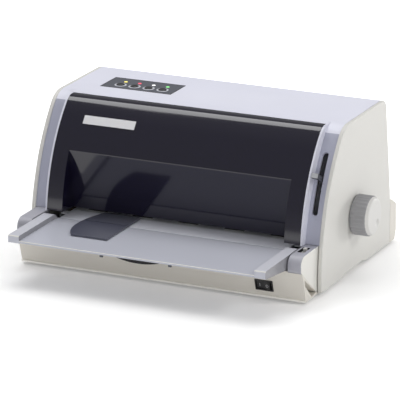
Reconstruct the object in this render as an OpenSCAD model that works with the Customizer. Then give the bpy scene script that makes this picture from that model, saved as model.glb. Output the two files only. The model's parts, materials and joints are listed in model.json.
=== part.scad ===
// Flatbed dot matrix printer with a smoked hinged cover and a folding front tray.
// X runs across the case, Y from the tray to the rear, Z up from the desk.

/* [Case] */
// Overall width over the two side panels
case_w = 380; // [370:1:392]
// Height of the flat top above the desk
case_h = 189; // [186:0.5:194]
// Thickness of each side panel
side_t = 5; // [4:0.25:6]
// Wall thickness of the moulded shells
wall = 3; // [2.5:0.1:3.4]
// Width of the pillar between a side panel and the cover
pillar_w = 20; // [18:0.5:22]
// Radius of the side panels' front curve
front_r = 239; // [232:1:250]
// Height of the front curve's centre above the desk
front_cz = 22; // [18:1:26]
// Foremost point of the side panels
front_y = -2.7; // [-4:0.1:-1.5]
// Radius of the shoulder between a side panel's front curve and the top
shoulder_r = 31; // [26:1:36]
// How far the pillars lie behind the side panels' front edge
pillar_recess = 2; // [1:0.25:3]
// Thickness of the rim walls on both sides of the cover
rim_t = 2.2; // [1.8:0.1:2.6]
// Where the rear wall meets the top
top_rear_y = 194; // [190:1:198]
// How far the rear wall leans back at its foot
rear_lean = 19; // [15:1:22]
// Radius of the upper rear corner
rear_corner_r = 10; // [6:1:14]

/* [Base] */
// Height of the base floor's underside, which is the height of the feet
foot_h = 3; // [2.5:0.25:4]
// Thickness of the base floor
floor_t = 2.5; // [2:0.25:3]
// Height of the base walls under the case
base_h = 56; // [54:0.5:57]
// Foot of the leaning front wall
pan_foot_y = -36; // [-38:0.5:-34]
// Top edge of the leaning front wall
pan_top_y = -48; // [-49:0.5:-46]
// Height of the front wall's top edge
pan_top_z = 42; // [40:0.5:43]
// How deep the lifting grips on the sides go in
grip_d = 11; // [6:0.5:13]
// Depth of the box behind the rear wall
rear_box_d = 20; // [16:1:24]
// Height of the box behind the rear wall
rear_box_h = 57; // [55:0.5:59]
// Radius of a rubber foot
foot_r = 8; // [6:0.5:10]

/* [Front blocks] */
// Front face of the blocks beside the tray
block_y = -50; // [-52:0.5:-49]
// Height of the blocks' top
block_z = 60.5; // [60:0.25:61.5]
// Radius of the blocks' upper front edge
block_r = 11; // [8:0.5:13]
// Gap between a block and the tray
block_gap = 1.8; // [1.2:0.1:2.2]
// Groove between a block and the side panel
block_groove = 1; // [0.6:0.1:1.4]
// Width of the latch recess
latch_w = 8; // [6:0.5:9]
// Length of the latch recess
latch_l = 19; // [16:1:21]
// Depth of the latch recess
latch_d = 6; // [5:0.25:8]

/* [Cover] */
// Radius of the cover's front curve
cover_r = 196; // [190:1:204]
// Height of the centre of the cover's front curve
cover_cz = 44.5; // [42:0.5:47]
// Foremost point of the cover
cover_y = -9.4; // [-10:0.1:-8.5]
// Radius of the cover's upper edge
cover_edge_r = 18; // [14:1:22]
// Thickness of the cover
cover_t = 2.6; // [2:0.1:3]
// Depth of the cover's side cheeks
cheek_d = 15; // [13:0.5:17]
// Gap between the cover and the blocks below it
cover_lift = 1.8; // [1.4:0.1:2.4]
// Width of the full-height strip at each end of the cover
strip_w = 20; // [19:0.5:21]
// Height of the crease over the cover's recessed panel
crease_z = 133.5; // [128:0.5:138]
// Radius of that crease
crease_r = 4; // [2:0.5:6]
// Place of the recessed panel's lower edge behind the case's front
throat_y = 24; // [22:0.5:24.5]
// Height of the paper throat under the recessed panel
throat_h = 5; // [4.8:0.1:6]
// Radius of the cover's hinge pins
cover_pin_r = 3; // [2.5:0.1:3.5]
// How far the cover's hinge pins reach into the rim walls
pin_reach = 1.4; // [1:0.1:1.5]
// How far the hinge lies below the top
hinge_drop = 9; // [8.5:0.25:10]
// How far the cover reaches behind its hinge
cover_reach = 8; // [7:0.25:8.5]
// Width of the bare name plate
plate_w = 68; // [50:1:80]
// Height of the bare name plate
plate_h = 11; // [8:0.5:12]
// Distance of the name plate's outer end from the centre plane
plate_x = 135; // [120:1:145]
// How far the middle of the name plate lies below the top
plate_drop = 22; // [20:0.5:28]

/* [Tray] */
// Front edge of the tray
tray_y = -109; // [-116:1:-100]
// Height of the paper plane above the desk
paper_z = 54; // [53:0.25:54.5]
// Thickness of the tray's plate
tray_t = 3; // [2.5:0.1:3.5]
// Width of the tray's side rails
rail_w = 14; // [11:0.5:16]
// Height of the rails above the paper plane
rail_h = 6; // [5:0.25:6.4]
// Place of the tray's hinge behind the case's front
tray_hinge_y = -20; // [-22:0.5:-18]
// Height of the tray's hinge
tray_hinge_z = 45; // [44:0.25:46]
// Radius of the tray's hinge pins
tray_pin_r = 3; // [2.5:0.1:3.5]
// Rear edge of the tray
tray_rear_y = -8.6; // [-9.5:0.1:-8.2]
// Height of the tray's front edge
lip_h = 2.6; // [2:0.1:3]
// Width of the finger grip under the tray's lip
finger_w = 72; // [50:1:90]
// How far the finger grip hangs below the tray's plate
finger_h = 6.5; // [5:0.25:8]
// How far the finger grip lies behind the tray's front edge
finger_back = 8; // [6:0.5:10]
// Width of the paper guide plate
guide_w = 47; // [40:1:60]
// Distance of the guide plate's inner edge from the centre plane
guide_x = 57; // [50:1:65]
// Front edge of the guide plate
guide_y = -66; // [-72:1:-55]
// Thickness of the guide plate
guide_t = 2.5; // [2:0.1:3]
// How far the guide plate's outer edge bulges
guide_bulge = 12; // [6:1:16]
// Rear edge of the inner guide plate
inner_guide_y = 26; // [18:1:30]
// Running gap under the guide plates
glide = 0.3; // [0.2:0.05:0.5]

/* [Paper drive] */
// Radius of the feed rollers
roller_r = 8; // [7.5:0.1:8.5]
// Length of one feed roller
roller_l = 26; // [20:1:32]
// Distance between neighbouring feed rollers
roller_pitch = 60; // [56:1:64]
// Feed rollers on each shaft
roller_count = 5; // [3:2:5]
// Radius of the pinch rollers
pinch_r = 6; // [5.5:0.1:6]
// Radius of the feed shafts
shaft_r = 4; // [3.5:0.1:4.5]
// Radius of the pinch shafts
pinch_shaft_r = 2.5; // [2:0.1:3]
// Gap between a feed roller and its pinch roller
paper_gap = 0.3; // [0.2:0.05:0.5]
// Thickness of the side frames
frame_t = 1.6; // [1.2:0.1:2]
// Height of the side frames' lower edge
frame_foot_z = 8; // [7:0.5:9]
// Height of the side frames' upper edge
frame_top_z = 116; // [115:0.5:122]
// Wall of the shaft bushes
bush_t = 2.5; // [2:0.1:3]
// Running clearance of shafts in their bushes
run = 0.05; // [0.03:0.01:0.08]
// Module of the drive gears
gear_m = 1; // [0.98:0.01:1.02]
// Width of the drive gears
gear_w = 4.4; // [3.5:0.1:4.6]
// Play between meshing gear teeth
backlash = 0.3; // [0.2:0.02:0.4]
// Teeth on the knob's gear
knob_teeth = 24; // [24:1:25]
// Teeth on each feed shaft's gear
feed_teeth = 36; // [35:1:36]
// Teeth on the idler gear
idler_teeth = 38; // [37:1:38]
// Teeth on the feed motor's pinion
pinion_teeth = 12; // [12:1:13]
// Direction from the idler gear to the feed motor
motor_angle = -60; // [-64:1:-56]

/* [Knob] */
// Distance of the knob's axis behind the case's front
knob_y = 102; // [99:0.5:105]
// Height of the knob's axis
knob_z = 71.5; // [71.5:0.1:72]
// Radius of the knob
knob_r = 24.5; // [20:0.5:27]
// How far the knob stands out of the side panel
knob_out = 24; // [18:0.5:28]
// Grip ribs round the knob
knob_ribs = 30; // [20:1:36]
// Depth of the grip ribs
knob_rib_d = 0.7; // [0.4:0.1:1]
// Gap between the knob and the side panel
knob_gap = 0.8; // [0.6:0.1:1.2]

/* [Print head] */
// Distance of the print line behind the case's front
print_y = 80; // [78:0.5:82]
// Height of the print head's nose
nose_z = 57.2; // [57:0.1:58]
// Width of the carriage
carriage_w = 56; // [50:1:60]
// Travel of the carriage each way
travel = 105; // [90:1:106]
// Radius of the carriage's guide shaft
guide_shaft_r = 5; // [4.5:0.1:5.5]
// Place of the guide shaft behind the case's front
guide_shaft_y = 99; // [98:0.25:100]
// Height of the guide shaft
guide_shaft_z = 92.4; // [91:0.2:93.5]
// Cooling fins on the print head
fin_count = 7; // [4:1:9]
// Place of the carriage belt's pulleys behind the case's front
belt_y = 117; // [116:0.5:118]
// Radius of the belt pulleys
pulley_r = 8; // [7:0.25:8.5]
// Distance of each pulley from the centre plane
pulley_x = 138; // [136:0.5:138.5]
// Width of the belt
belt_w = 6; // [5:0.25:6.5]
// Thickness of the belt
belt_t = 1.2; // [1:0.1:1.4]
// Height of the belt's lower edge
belt_z = 106; // [105.5:0.25:106.5]
// Depth of the ribbon cartridge
cartridge_d = 33; // [30:0.5:34]
// Height of the ribbon cartridge
cartridge_h = 16; // [13:0.5:18]
// Width of the ink ribbon
ribbon_w = 13; // [11:0.5:14]

/* [Lever] */
// Width of the slot for the paper thickness lever
lever_slot_w = 7; // [6:0.25:8]
// Height of the slot's lower end
lever_slot_low = 97; // [95:0.5:100]
// Height of the slot's upper end
lever_slot_high = 159; // [157:0.5:161]
// Thickness of the lever
lever_t = 4; // [3:0.1:5]
// Length of the lever from its pivot
lever_l = 98; // [96:0.25:100]
// Length of the lever's thumb tab
lever_tab = 7; // [5:0.25:7.5]
// Direction of the lever above the horizontal
lever_angle = 30; // [28:0.5:32]

/* [Controls] */
// Width of the control panel
panel_w = 95; // [90:1:100]
// Depth of the control panel
panel_d = 45; // [42:1:48]
// Distance of the control panel's outer end from the centre plane
panel_x = 149; // [146:1:152]
// Front edge of the control panel
panel_y = 105; // [100:1:110]
// Radius of a button
button_r = 5; // [4:0.1:6]
// Distance between buttons
button_pitch = 18.8; // [17:0.1:20]
// Number of buttons
button_count = 4; // [4:1:4]
// How far the buttons stand proud
button_proud = 1.2; // [0.8:0.1:1.6]
// Travel of the buttons
button_travel = 1; // [0.6:0.1:1.2]
// Radius of a status light
light_r = 2.2; // [1.6:0.1:2.4]
// Distance of the status lights behind the buttons
light_back = 15; // [13:0.5:16]
// Width of the power switch's frame
switch_w = 22.4; // [20:0.2:24]
// Height of the power switch's frame
switch_h = 14.4; // [13:0.2:16]
// Distance of the power switch from the centre plane
switch_x = 134; // [120:1:140]
// Height of the power switch
switch_z = 19; // [17:0.5:21]
// Tilt of the rocker each way
rocker_tilt = 8; // [6:1:9]

/* [Hidden] */

$fn = 48;
// Small gap between flat faces of fixed pieces
fit = 0.2;
// Steps in the long front curves and in the small arcs
curve_steps = 28;
arc_steps = 8;
// Depth that a cut runs past a face
past = 1;

// Inner faces of the side panels and of the pillars
panel_in = case_w / 2 - side_t;
pillar_in = panel_in - pillar_w;
// Half widths of the cover and the tray, and the blocks' inner faces
cover_half = pillar_in - 0.4;
tray_half = pillar_in;
block_in = tray_half + block_gap;
// Outer and inner faces of the side frames
frame_out = pillar_in - 7;
frame_in = frame_out - frame_t;
// Plane of the drive gears, outside the right frame
gear_x = frame_out + 1.6;

// Centres of the front curve, its shoulder, the cover's curve and its upper edge
front_cy = front_y + front_r;
shoulder_z = case_h - shoulder_r;
shoulder_y = front_cy - sqrt(pow(front_r - shoulder_r, 2) - pow(shoulder_z - front_cz, 2));
cover_cy = cover_y + cover_r;
edge_z = case_h - cover_edge_r;
edge_y = cover_cy - sqrt(pow(cover_r - cover_edge_r, 2) - pow(edge_z - cover_cz, 2));
shoulder_a = atan2(shoulder_z - front_cz, shoulder_y - front_cy);
edge_a = atan2(edge_z - cover_cz, edge_y - cover_cy);

// Cover hinge: its axis, the cover's rear edge and the sweep that the case leaves free
cover_low = block_z + cover_lift;
hinge_z = case_h - hinge_drop;
hinge_y = edge_y - 3.4;
cover_rear = hinge_y + cover_reach;
// Recessed panel of the cover: its half width, its crease and its lower edge
mouth_half = cover_half - strip_w;
crease = [cover_cy - sqrt(pow(cover_r, 2) - pow(crease_z - cover_cz, 2)) + 0.1, crease_z];
throat = [throat_y, paper_z + throat_h];
panel_normal = quarter_turn(unit(throat - crease));
crease_normal = unit([cover_cy, cover_cz] - crease);
throat_in = throat + cover_t * panel_normal;
crease_in = crease + cover_t * (panel_normal + crease_normal) / (1 + panel_normal * crease_normal);
hinge_sweep = norm([cover_reach, hinge_drop]) + 0.5;

// Rear wall's foot and the back of the box behind it
rear_y = top_rear_y + rear_lean;
box_back = rear_y + rear_box_d;

// Base front wall
pan_lean = atan2(pan_foot_y - pan_top_y, pan_top_z - foot_h);
function pan_front(z) = pan_foot_y + (pan_top_y - pan_foot_y) * (z - foot_h) / (pan_top_z - foot_h);
floor_z = foot_h + floor_t;
pan_half = panel_in - 0.3;

// Paper drive
feed_z = paper_z - roller_r;
pinch_z = paper_z + paper_gap + pinch_r;
knob_to_feed = gear_m * (knob_teeth + feed_teeth) / 2;
feed_to_idler = gear_m * (feed_teeth + idler_teeth) / 2;
idler_to_motor = gear_m * (idler_teeth + pinion_teeth) / 2;
rear_feed_y = knob_y + sqrt(pow(knob_to_feed, 2) - pow(knob_z - feed_z, 2));
idler_y = rear_feed_y - feed_to_idler;
front_feed_y = idler_y - feed_to_idler;
feed_ys = [front_feed_y, rear_feed_y];
idler_stub_r = 3;
motor_y = idler_y + idler_to_motor * cos(motor_angle);
motor_z = feed_z + idler_to_motor * sin(motor_angle);
knob_dir = atan2(knob_z - feed_z, knob_y - rear_feed_y);
rear_phase = knob_dir;
knob_phase = mesh_phase(knob_dir, feed_teeth, rear_phase, knob_teeth);
idler_phase = mesh_phase(180, feed_teeth, rear_phase, idler_teeth);
front_phase = mesh_phase(180, idler_teeth, idler_phase, feed_teeth);
pinion_phase = mesh_phase(motor_angle, idler_teeth, idler_phase, pinion_teeth);
bush_r = shaft_r + bush_t;
feed_motor_r = 17.4;
feed_motor_l = 24;

// Print head and carriage
hub_r = guide_shaft_r + 4.5;
head_front = print_y - 18.5;
head_back = guide_shaft_y - hub_r - 2.4;
head_w = 44;
head_low = 72;
head_high = 108;
arm_z = guide_shaft_z + hub_r - 1;
arm_t = 3.4;
rail_y = 133;
rail_t = 1.6;
rail_z = guide_shaft_z - 6;
rail_top = arm_z - 1;
bracket_z = belt_z + belt_w + 1.4;
bracket_t = 1.6;
carriage_motor_r = 16.5;
carriage_motor_l = 30;
belt_gap = 0.3;
run_y = belt_y - pulley_r - belt_gap - belt_t / 2;
shelf_back = 158;
cable_w = 16;
cable_t = 0.4;
cable_back = shelf_back - 2;
cable_low = rail_z + rail_t + 0.4;
cable_high = arm_z + arm_t + 0.2;
cable_x = 70;
socket_top = 20.4;

// Ribbon
cartridge_z = pinch_z + pinch_r + 1.8;
cartridge_y = throat_y + 2;
ribbon_t = 0.4;
ribbon_z = nose_z - 0.5 - ribbon_t;
cartridge_half = frame_in - 0.3;
arm_end = print_y + ribbon_w / 2 + 1.6;
arm_x = cartridge_half - 20;
arm_w = 10;
ribbon_knob_x = 96;
ribbon_knob_r = 8;

// Lever
lever_x = (pillar_in + panel_in) / 2;

// Rear edge of the side frames
frame_back = 152;

// Feet and cross members
foot_x = case_w / 2 - 34;
foot_ys = [-14, 196];
member_t = 1.6;
member_h = 12;
member_d = 18;

// Latch recess in the right block
latch_x = (block_in + panel_in) / 2 - 2;
latch_y = -28;

// Radius of the finger grip's arched edge
finger_arch_r = (pow(finger_w / 2, 2) + pow(finger_h, 2)) / (2 * finger_h);

// Front edge of the paper bed behind the tray
bed_y = tray_rear_y + 1.8;
bed_t = 2;
bed_half = frame_in - 8;
// Tabs that hold the bed in the frames
tab_ys = [12, 62, 94];
tab_w = 8;
// Reach about its hinge that the tray's rear edge keeps to, clear of the bed
seam_r = norm([bed_y - glide - tray_hinge_y, paper_z - bed_t - tray_hinge_z]);

// Paper exit under the rear wall
exit_half = frame_in - 6;
exit_low = paper_z - 2.4;
exit_high = paper_z + 8;

// Boards, bosses and sockets: [x, z, width, height]
boss_x = [-120, 120];
boss_y = [30, 140];
main_board_z = 12;
main_board_t = 1.6;
main_board_lo = [-154, 156];
main_board_hi = [40, box_back - 5];
board_posts = [[-146, 164], [-146, 222], [32, 164], [32, 222]];
sockets = [[-95, 23, 56, 14], [-35, 22, 13, 11], [112, 24, 27.4, 20]];
supply_lo = [58, 158, floor_z + 0.2];
supply_hi = [146, box_back - 24, 42];
vent_pitch = 9;
vent_w = 4;
vent_margin = 14;

// Controls
panel_t = 3.6;
switch_hole_w = switch_w - 1.2;
switch_hole_h = switch_h - 1.2;
rocker_w = switch_w - 3.6;
rocker_h = switch_h - 4;
rocker_pivot = 3.6;
platen_d = 15;
pinion_shaft_r = 1.5;
window_gap = 0.3;
button_x0 = -panel_x + 21;
button_y = panel_y + 15;
board_z = case_h - 12;
switch_y = pan_front(switch_z);

// The object stands on the desk with its middle over the origin
right_reach = case_w / 2 + knob_out;
left_reach = case_w / 2;
origin = [(right_reach - left_reach) / 2, (tray_y + box_back) / 2, 0];

// ---------- Outline helpers ----------

function ray(a) = [cos(a), sin(a)];
function arc(c, r, a0, a1, n) = [for (i = [0:n]) c + r * ray(a0 + (a1 - a0) * i / n)];
function unit(v) = v / norm(v);
function quarter_turn(v) = [-v[1], v[0]];
function reversed(p) = [for (i = [len(p) - 1:-1:0]) p[i]];
function turn(a) = a > 180 ? turn(a - 360) : a < -180 ? turn(a + 360) : a;

// One corner [x, y, radius] between its neighbours, as arc points
function corner(before, at, after) =
    let (
        p = [at[0], at[1]],
        a = unit([before[0], before[1]] - p),
        b = unit([after[0], after[1]] - p),
        half = acos(max(-1, min(1, a * b))) / 2
    )
    at[2] == 0 || half > 89 ? [p] :
    let (
        c = p + unit(a + b) * at[2] / sin(half),
        s = p + a * at[2] / tan(half),
        e = p + b * at[2] / tan(half),
        t0 = atan2(s[1] - c[1], s[0] - c[0]),
        t1 = atan2(e[1] - c[1], e[0] - c[0])
    )
    arc(c, at[2], t0, t0 + turn(t1 - t0), arc_steps);

function rounded(v) = [
    for (i = [0:len(v) - 1])
        each corner(v[(i + len(v) - 1) % len(v)], v[i], v[(i + 1) % len(v)])
];

// Angle on a circle round height cz at which it reaches height z on its front side
function front_angle(z, cz, r) = 180 - asin((z - cz) / r);

// Front curve of the case from height z upwards and over the shoulder, moved in by off
function case_front(z, off) = concat(
    let (r = front_r - off)
        arc([front_cy, front_cz], r, front_angle(z, front_cz, r), shoulder_a, curve_steps),
    arc([shoulder_y, shoulder_z], shoulder_r - off, shoulder_a, 90, arc_steps)
);

// Front curve of the cover from height z up to its rear edge, moved in by off
function cover_front(z, off) = concat(
    let (r = cover_r - off)
        arc([cover_cy, cover_cz], r, front_angle(z, cover_cz, r), edge_a, curve_steps),
    arc([edge_y, edge_z], cover_edge_r - off, edge_a, 90, arc_steps)
);

// Profiles drawn in (Y, Z) or (X, Z) and pulled along the remaining axis
module along_x(x0, x1) {
    translate([x0, 0, 0]) rotate([90, 0, 90]) linear_extrude(x1 - x0) children();
}

module along_y(y0, y1) {
    translate([0, y1, 0]) rotate([90, 0, 0]) linear_extrude(y1 - y0) children();
}

// A cylinder along X
module rod(x0, x1, y, z, r) {
    translate([x0, y, z]) rotate([0, 90, 0]) cylinder(h = x1 - x0, r = r);
}

module block(lo, hi) {
    translate(lo) cube(hi - lo);
}

module both_sides() {
    children();
    mirror([1, 0, 0]) children();
}

// Everything below is drawn from the case's centre plane and moved here to its place over the origin
module placed() {
    translate(-origin) children();
}

// ---------- Gears ----------

// Phase of gear B that meshes with gear A, when the line from A to B points along dir
function mesh_phase(dir, teeth_a, phase_a, teeth_b) =
    dir + 180 - (0.5 - (dir - phase_a) * teeth_a / 360) * 360 / teeth_b;

// Half of a tooth's angle at radius r, for an involute of 20 degrees
function tooth_half(teeth, r) =
    let (
        rp = gear_m * teeth / 2,
        rb = rp * cos(20),
        t = r <= rb ? 0 : acos(rb / r),
        inv = tan(t) * 180 / PI - t,
        inv20 = tan(20) * 180 / PI - 20
    )
    90 / teeth - backlash / 2 / rp * 90 / PI + inv20 - inv;

module gear(teeth, phase, bore_r) {
    rp = gear_m * teeth / 2;
    root = rp - 1.2 * gear_m;
    tip = rp + 0.9 * gear_m;
    steps = [root, rp - 0.5 * gear_m, rp, rp + 0.5 * gear_m, tip];
    difference() {
        linear_extrude(gear_w) polygon([
            for (i = [0:teeth - 1])
                let (a = phase + i * 360 / teeth)
                each concat(
                    [for (r = steps) let (h = tooth_half(teeth, r)) r * [cos(a - h), sin(a - h)]],
                    [for (r = reversed(steps)) let (h = tooth_half(teeth, r)) r * [cos(a + h), sin(a + h)]]
                )
        ]);
        translate([0, 0, -past]) cylinder(h = gear_w + 2 * past, r = bore_r);
    }
}

// A gear in the drive plane, turning about an axis along X
module drive_gear(y, z, teeth, phase, bore_r) {
    translate([gear_x, y, z]) rotate([90, 0, 90]) gear(teeth, phase, bore_r);
}

// ---------- Base ----------

// Side cheek of a front block, grown by gap, which the base leaves free
module block_profile(gap) {
    polygon(rounded([
        [block_y - gap, block_z + gap, block_r],
        [3, block_z + gap, 0],
        [3, 4.5 - gap, 0],
        [-3, 4.5 - gap, 0],
        [block_y - gap, pan_top_z + 1 - gap, 0]
    ]));
}

module pan_profile(inset) {
    polygon([
        [pan_front(foot_h) + inset, foot_h],
        [pan_front(pan_top_z) + inset, pan_top_z],
        [past, pan_top_z],
        [past, foot_h]
    ]);
}

// Triangular grip under each block
module grip_profile() {
    polygon([[-41, 31.5], [-6, 6.8], [-19, foot_h + 1.5], [-39, 24]]);
}

// Box behind the rear wall, as a (Y, Z) profile
module rear_box_profile(inset, top) {
    polygon(rounded([
        [rear_y - 8, foot_h + inset, 0],
        [box_back - 5, foot_h + inset, 0],
        [box_back - inset, foot_h + 12, 2],
        [box_back - 1 - inset, min(top, rear_box_h - 9), 1],
        [rear_y + 4, top, 2],
        [rear_y - 8, top, 0]
    ]));
}

module base_pan() color([0.65, 0.635, 0.6]) placed() {
    inner = pan_half - wall;
    difference() {
        union() {
            // front, with the leaning wall
            difference() {
                along_x(-pan_half, pan_half) pan_profile(0);
                difference() {
                    along_x(-inner, inner) pan_profile(wall);
                    block([-case_w, -case_w, 0], [case_w, case_w, floor_z]);
                    both_sides() along_x(inner - grip_d, case_w) offset(delta = wall) grip_profile();
                }
                both_sides() along_x(pan_half - grip_d, case_w) grip_profile();
            }
            // middle, between the side panels
            difference() {
                block([-pan_half, 0, foot_h], [pan_half, rear_y, base_h]);
                block([-inner, -past, floor_z], [inner, rear_y + past, base_h + past]);
                block([-case_w, -past, pan_top_z], [case_w, 6, case_h]);
            }
            // rear box
            difference() {
                along_x(-case_w / 2, case_w / 2) rear_box_profile(0, rear_box_h);
                along_x(-case_w / 2 + wall, case_w / 2 - wall) rear_box_profile(wall, exit_low - wall);
                both_sides() block([pan_half, 0, 0], [case_w, rear_y + fit, case_h]);
                block([-inner, 0, floor_z], [inner, rear_y, exit_low - wall]);
            }
            // light flange along the foot of the front wall
            block([-pan_half, pan_foot_y - 2, foot_h], [pan_half, pan_foot_y + 2, foot_h + 2.2]);
            // bosses under the cross members and the boards
            for (x = boss_x, y = boss_y) translate([x, y, floor_z - 0.5])
                cylinder(h = frame_foot_z - floor_z + 0.5, r = 6);
            for (p = board_posts) translate([p[0], p[1], floor_z - 0.5])
                cylinder(h = main_board_z - floor_z + 0.5, r = 3.5);
        }
        // room for the front blocks
        both_sides() along_x(block_in - 2 * fit, case_w) block_profile(fit);
        // paper exit over the rear box
        block([-exit_half, rear_y - 12, exit_low], [exit_half, box_back + past, case_h]);
        // opening for the power switch
        on_front(switch_x, switch_z)
            block([-switch_hole_w / 2, -5, -switch_hole_h / 2], [switch_hole_w / 2, 8, switch_hole_h / 2]);
        // openings for the rear sockets
        for (s = sockets) block(
            [s[0] - s[2] / 2 - fit, box_back - 8, s[1] - s[3] / 2 - fit],
            [s[0] + s[2] / 2 + fit, box_back + past, s[1] + s[3] / 2 + fit]
        );
        // screw holes in the bosses
        for (x = boss_x, y = boss_y) translate([x, y, floor_z + 0.2]) cylinder(h = 20, r = 1.5);
        for (p = board_posts) translate([p[0], p[1], floor_z + 1]) cylinder(h = 20, r = 1.2);
    }
}

// Places things on the leaning front wall, with -Y pointing out of it
module on_front(x, z) {
    translate([x, pan_front(z), z]) rotate([pan_lean, 0, 0]) children();
}

module front_block() {
    difference() {
        along_x(block_in, panel_in - block_groove) block_profile(0);
        rod(block_in - past, block_in + 5, tray_hinge_y, tray_hinge_z, tray_pin_r + run);
    }
}

module left_front_block() color([0.7, 0.7, 0.76]) placed() mirror([1, 0, 0]) front_block();

module right_front_block() color([0.7, 0.7, 0.76]) placed() difference() {
    front_block();
    translate([latch_x, latch_y, block_z - latch_d])
        block([-latch_w / 2, 0, 0], [latch_w / 2, latch_l, latch_d + past]);
}

module rubber_feet() color([0.12, 0.12, 0.12]) placed() {
    for (x = [-foot_x, foot_x], y = foot_ys) translate([x, y, 0]) cylinder(h = foot_h, r = foot_r);
}

module case_screws() color([0.6, 0.6, 0.62]) placed() {
    for (x = boss_x, y = boss_y) translate([x, y, frame_foot_z + member_t]) difference() {
        union() {
            cylinder(h = 2, r = 3);
            translate([0, 0, -3.6]) cylinder(h = 4, r = 1.4);
        }
        translate([0, 0, 1]) cylinder(h = 2, r = 1.7, $fn = 6);
    }
}

// ---------- Case ----------

// Top, shoulder and rear wall, moved in by off
function rear_line(off) = concat(
    corner(
        [0, case_h - off],
        [top_rear_y - off, case_h - off, rear_corner_r - off],
        [rear_y - off, rear_box_h]
    ),
    [[rear_y - off, rear_box_h + fit]]
);
function pillar_line(z, off) = [for (p = case_front(z, off)) p + [pillar_recess, 0]];

module side_panel() {
    along_x(panel_in, case_w / 2) polygon(concat(
        case_front(foot_h + 1, 0),
        rear_line(0),
        [
            [rear_y, foot_h],
            [rear_y - 76, foot_h],
            [rear_y - 87, foot_h + 3],
            [rear_y - 140, foot_h + 3],
            [rear_y - 151, foot_h + 0.5]
        ]
    ));
}

module left_side_panel() color([0.84, 0.84, 0.82]) placed() mirror([1, 0, 0]) side_panel();

module right_side_panel() color([0.84, 0.84, 0.82]) placed() difference() {
    side_panel();
    rod(panel_in - past, case_w / 2 + past, knob_y, knob_z, shaft_r + 1.5);
}

// Rim wall beside the cover, which follows its front and carries its hinge pin
module rim_profile() {
    polygon(concat(
        cover_front(block_z + fit, 0.3),
        [[hinge_y + 26, case_h - 0.5], [hinge_y + 26, hinge_z - 22], [46, 112], [34, block_z + fit]]
    ));
}

module upper_case() color([0.86, 0.86, 0.9]) placed() difference() {
    union() {
        both_sides() {
            along_x(pillar_in, panel_in) polygon(concat(
                pillar_line(block_z + fit, 0),
                rear_line(0),
                reversed(rear_line(wall)),
                reversed(pillar_line(block_z + fit, wall))
            ));
            along_x(pillar_in, pillar_in + rim_t) rim_profile();
        }
        along_x(-pillar_in - past, pillar_in + past) polygon(concat(
            [[hinge_y, case_h - wall - 0.6], [hinge_y, case_h]],
            rear_line(0),
            reversed(rear_line(wall)),
            [[hinge_y + 30, case_h - wall], [hinge_y + 18, case_h - wall - 0.6]]
        ));
    }
    // sweep of the cover's rear edge
    rod(-pillar_in, pillar_in, hinge_y, hinge_z, hinge_sweep);
    block([-pillar_in, hinge_y - 20, hinge_z], [pillar_in, hinge_y, case_h + past]);
    // bores for the cover's hinge pins
    rod(-pillar_in - pin_reach - fit, pillar_in + pin_reach + fit, hinge_y, hinge_z, cover_pin_r + run);
    // slot for the thickness lever
    hull() {
        lever_slot_end(lever_slot_low);
        lever_slot_end(lever_slot_high);
    }
    // window for the control panel
    block([-panel_x, panel_y, case_h - 2 * wall], [-panel_x + panel_w, panel_y + panel_d, case_h + past]);
    // paper exit
    block([-exit_half, rear_y - 20, 0], [exit_half, rear_y + 20, exit_high]);
}

// One round end of the lever slot, at height z, pointing at the lever's pivot
module lever_slot_end(z) {
    p = [case_front_y(z) + pillar_recess, z];
    a = atan2(guide_shaft_z - p[1], guide_shaft_y - p[0]);
    translate([lever_x, p[0], p[1]]) rotate([a, 0, 0]) rotate([90, 0, 0])
        cylinder(h = 18, r = lever_slot_w / 2, center = true);
}

function case_front_y(z) = front_cy - sqrt(pow(front_r, 2) - pow(z - front_cz, 2));

// ---------- Cover ----------

// Side cheek of the cover, which reaches back to the hinge pin
module cheek_profile() {
    polygon(concat(
        cover_front(cover_low, cover_t / 2),
        [[cover_rear, case_h - cover_t / 2], [cover_rear - 1, hinge_z], [hinge_y, hinge_z - 7]],
        reversed([for (p = cover_front(cover_low, cheek_d)) if (p[1] < hinge_z - 18) p])
    ));
}

// Points of the cover's curve that lie above height z
function above(points, z) = [for (p = points) if (p[1] > z) p];
function below(points, z) = [for (p = points) if (p[1] < z) p];

// Section of the cover between its end strips, with the recessed panel under the crease
module mouth_profile() {
    skin = above(cover_front(cover_low, 0), crease_z + 2.5);
    polygon(concat(
        [throat_in, throat],
        corner(throat, [crease[0], crease[1], crease_r], skin[0]),
        skin,
        [[cover_rear, case_h], [cover_rear, case_h - cover_t]],
        reversed(above(cover_front(cover_low, cover_t), crease_in[1] + 1)),
        [crease_in]
    ));
}

// Wall that closes the recess towards an end strip
module recess_side_profile() {
    polygon(concat(
        [throat_in, throat],
        below(cover_front(cover_low, 0), crease_z + 2.5),
        [crease_in]
    ));
}

module front_cover() color([0.15, 0.14, 0.19, 0.8]) placed() {
    along_x(-mouth_half - cover_t / 2, mouth_half + cover_t / 2) mouth_profile();
    both_sides() {
        along_x(mouth_half, cover_half) polygon(concat(
            cover_front(cover_low, 0),
            [[cover_rear, case_h], [cover_rear, case_h - cover_t]],
            reversed(cover_front(cover_low, cover_t))
        ));
        along_x(mouth_half, mouth_half + cover_t) recess_side_profile();
        along_x(cover_half - cover_t, cover_half) cheek_profile();
        rod(cover_half - cover_t, pillar_in + pin_reach, hinge_y, hinge_z, cover_pin_r);
    }
}

// Tangent angle and place on the cover at height z
module on_cover(x, z) {
    y = cover_cy - sqrt(pow(cover_r, 2) - pow(z - cover_cz, 2));
    translate([x, y, z]) rotate([-asin((z - cover_cz) / cover_r), 0, 0]) children();
}

module name_plate() color([0.7, 0.7, 0.72]) placed() {
    on_cover(-plate_x, case_h - plate_drop) block([0, -1, -plate_h / 2], [plate_w, -0.1, plate_h / 2]);
}

// ---------- Tray ----------

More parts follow.
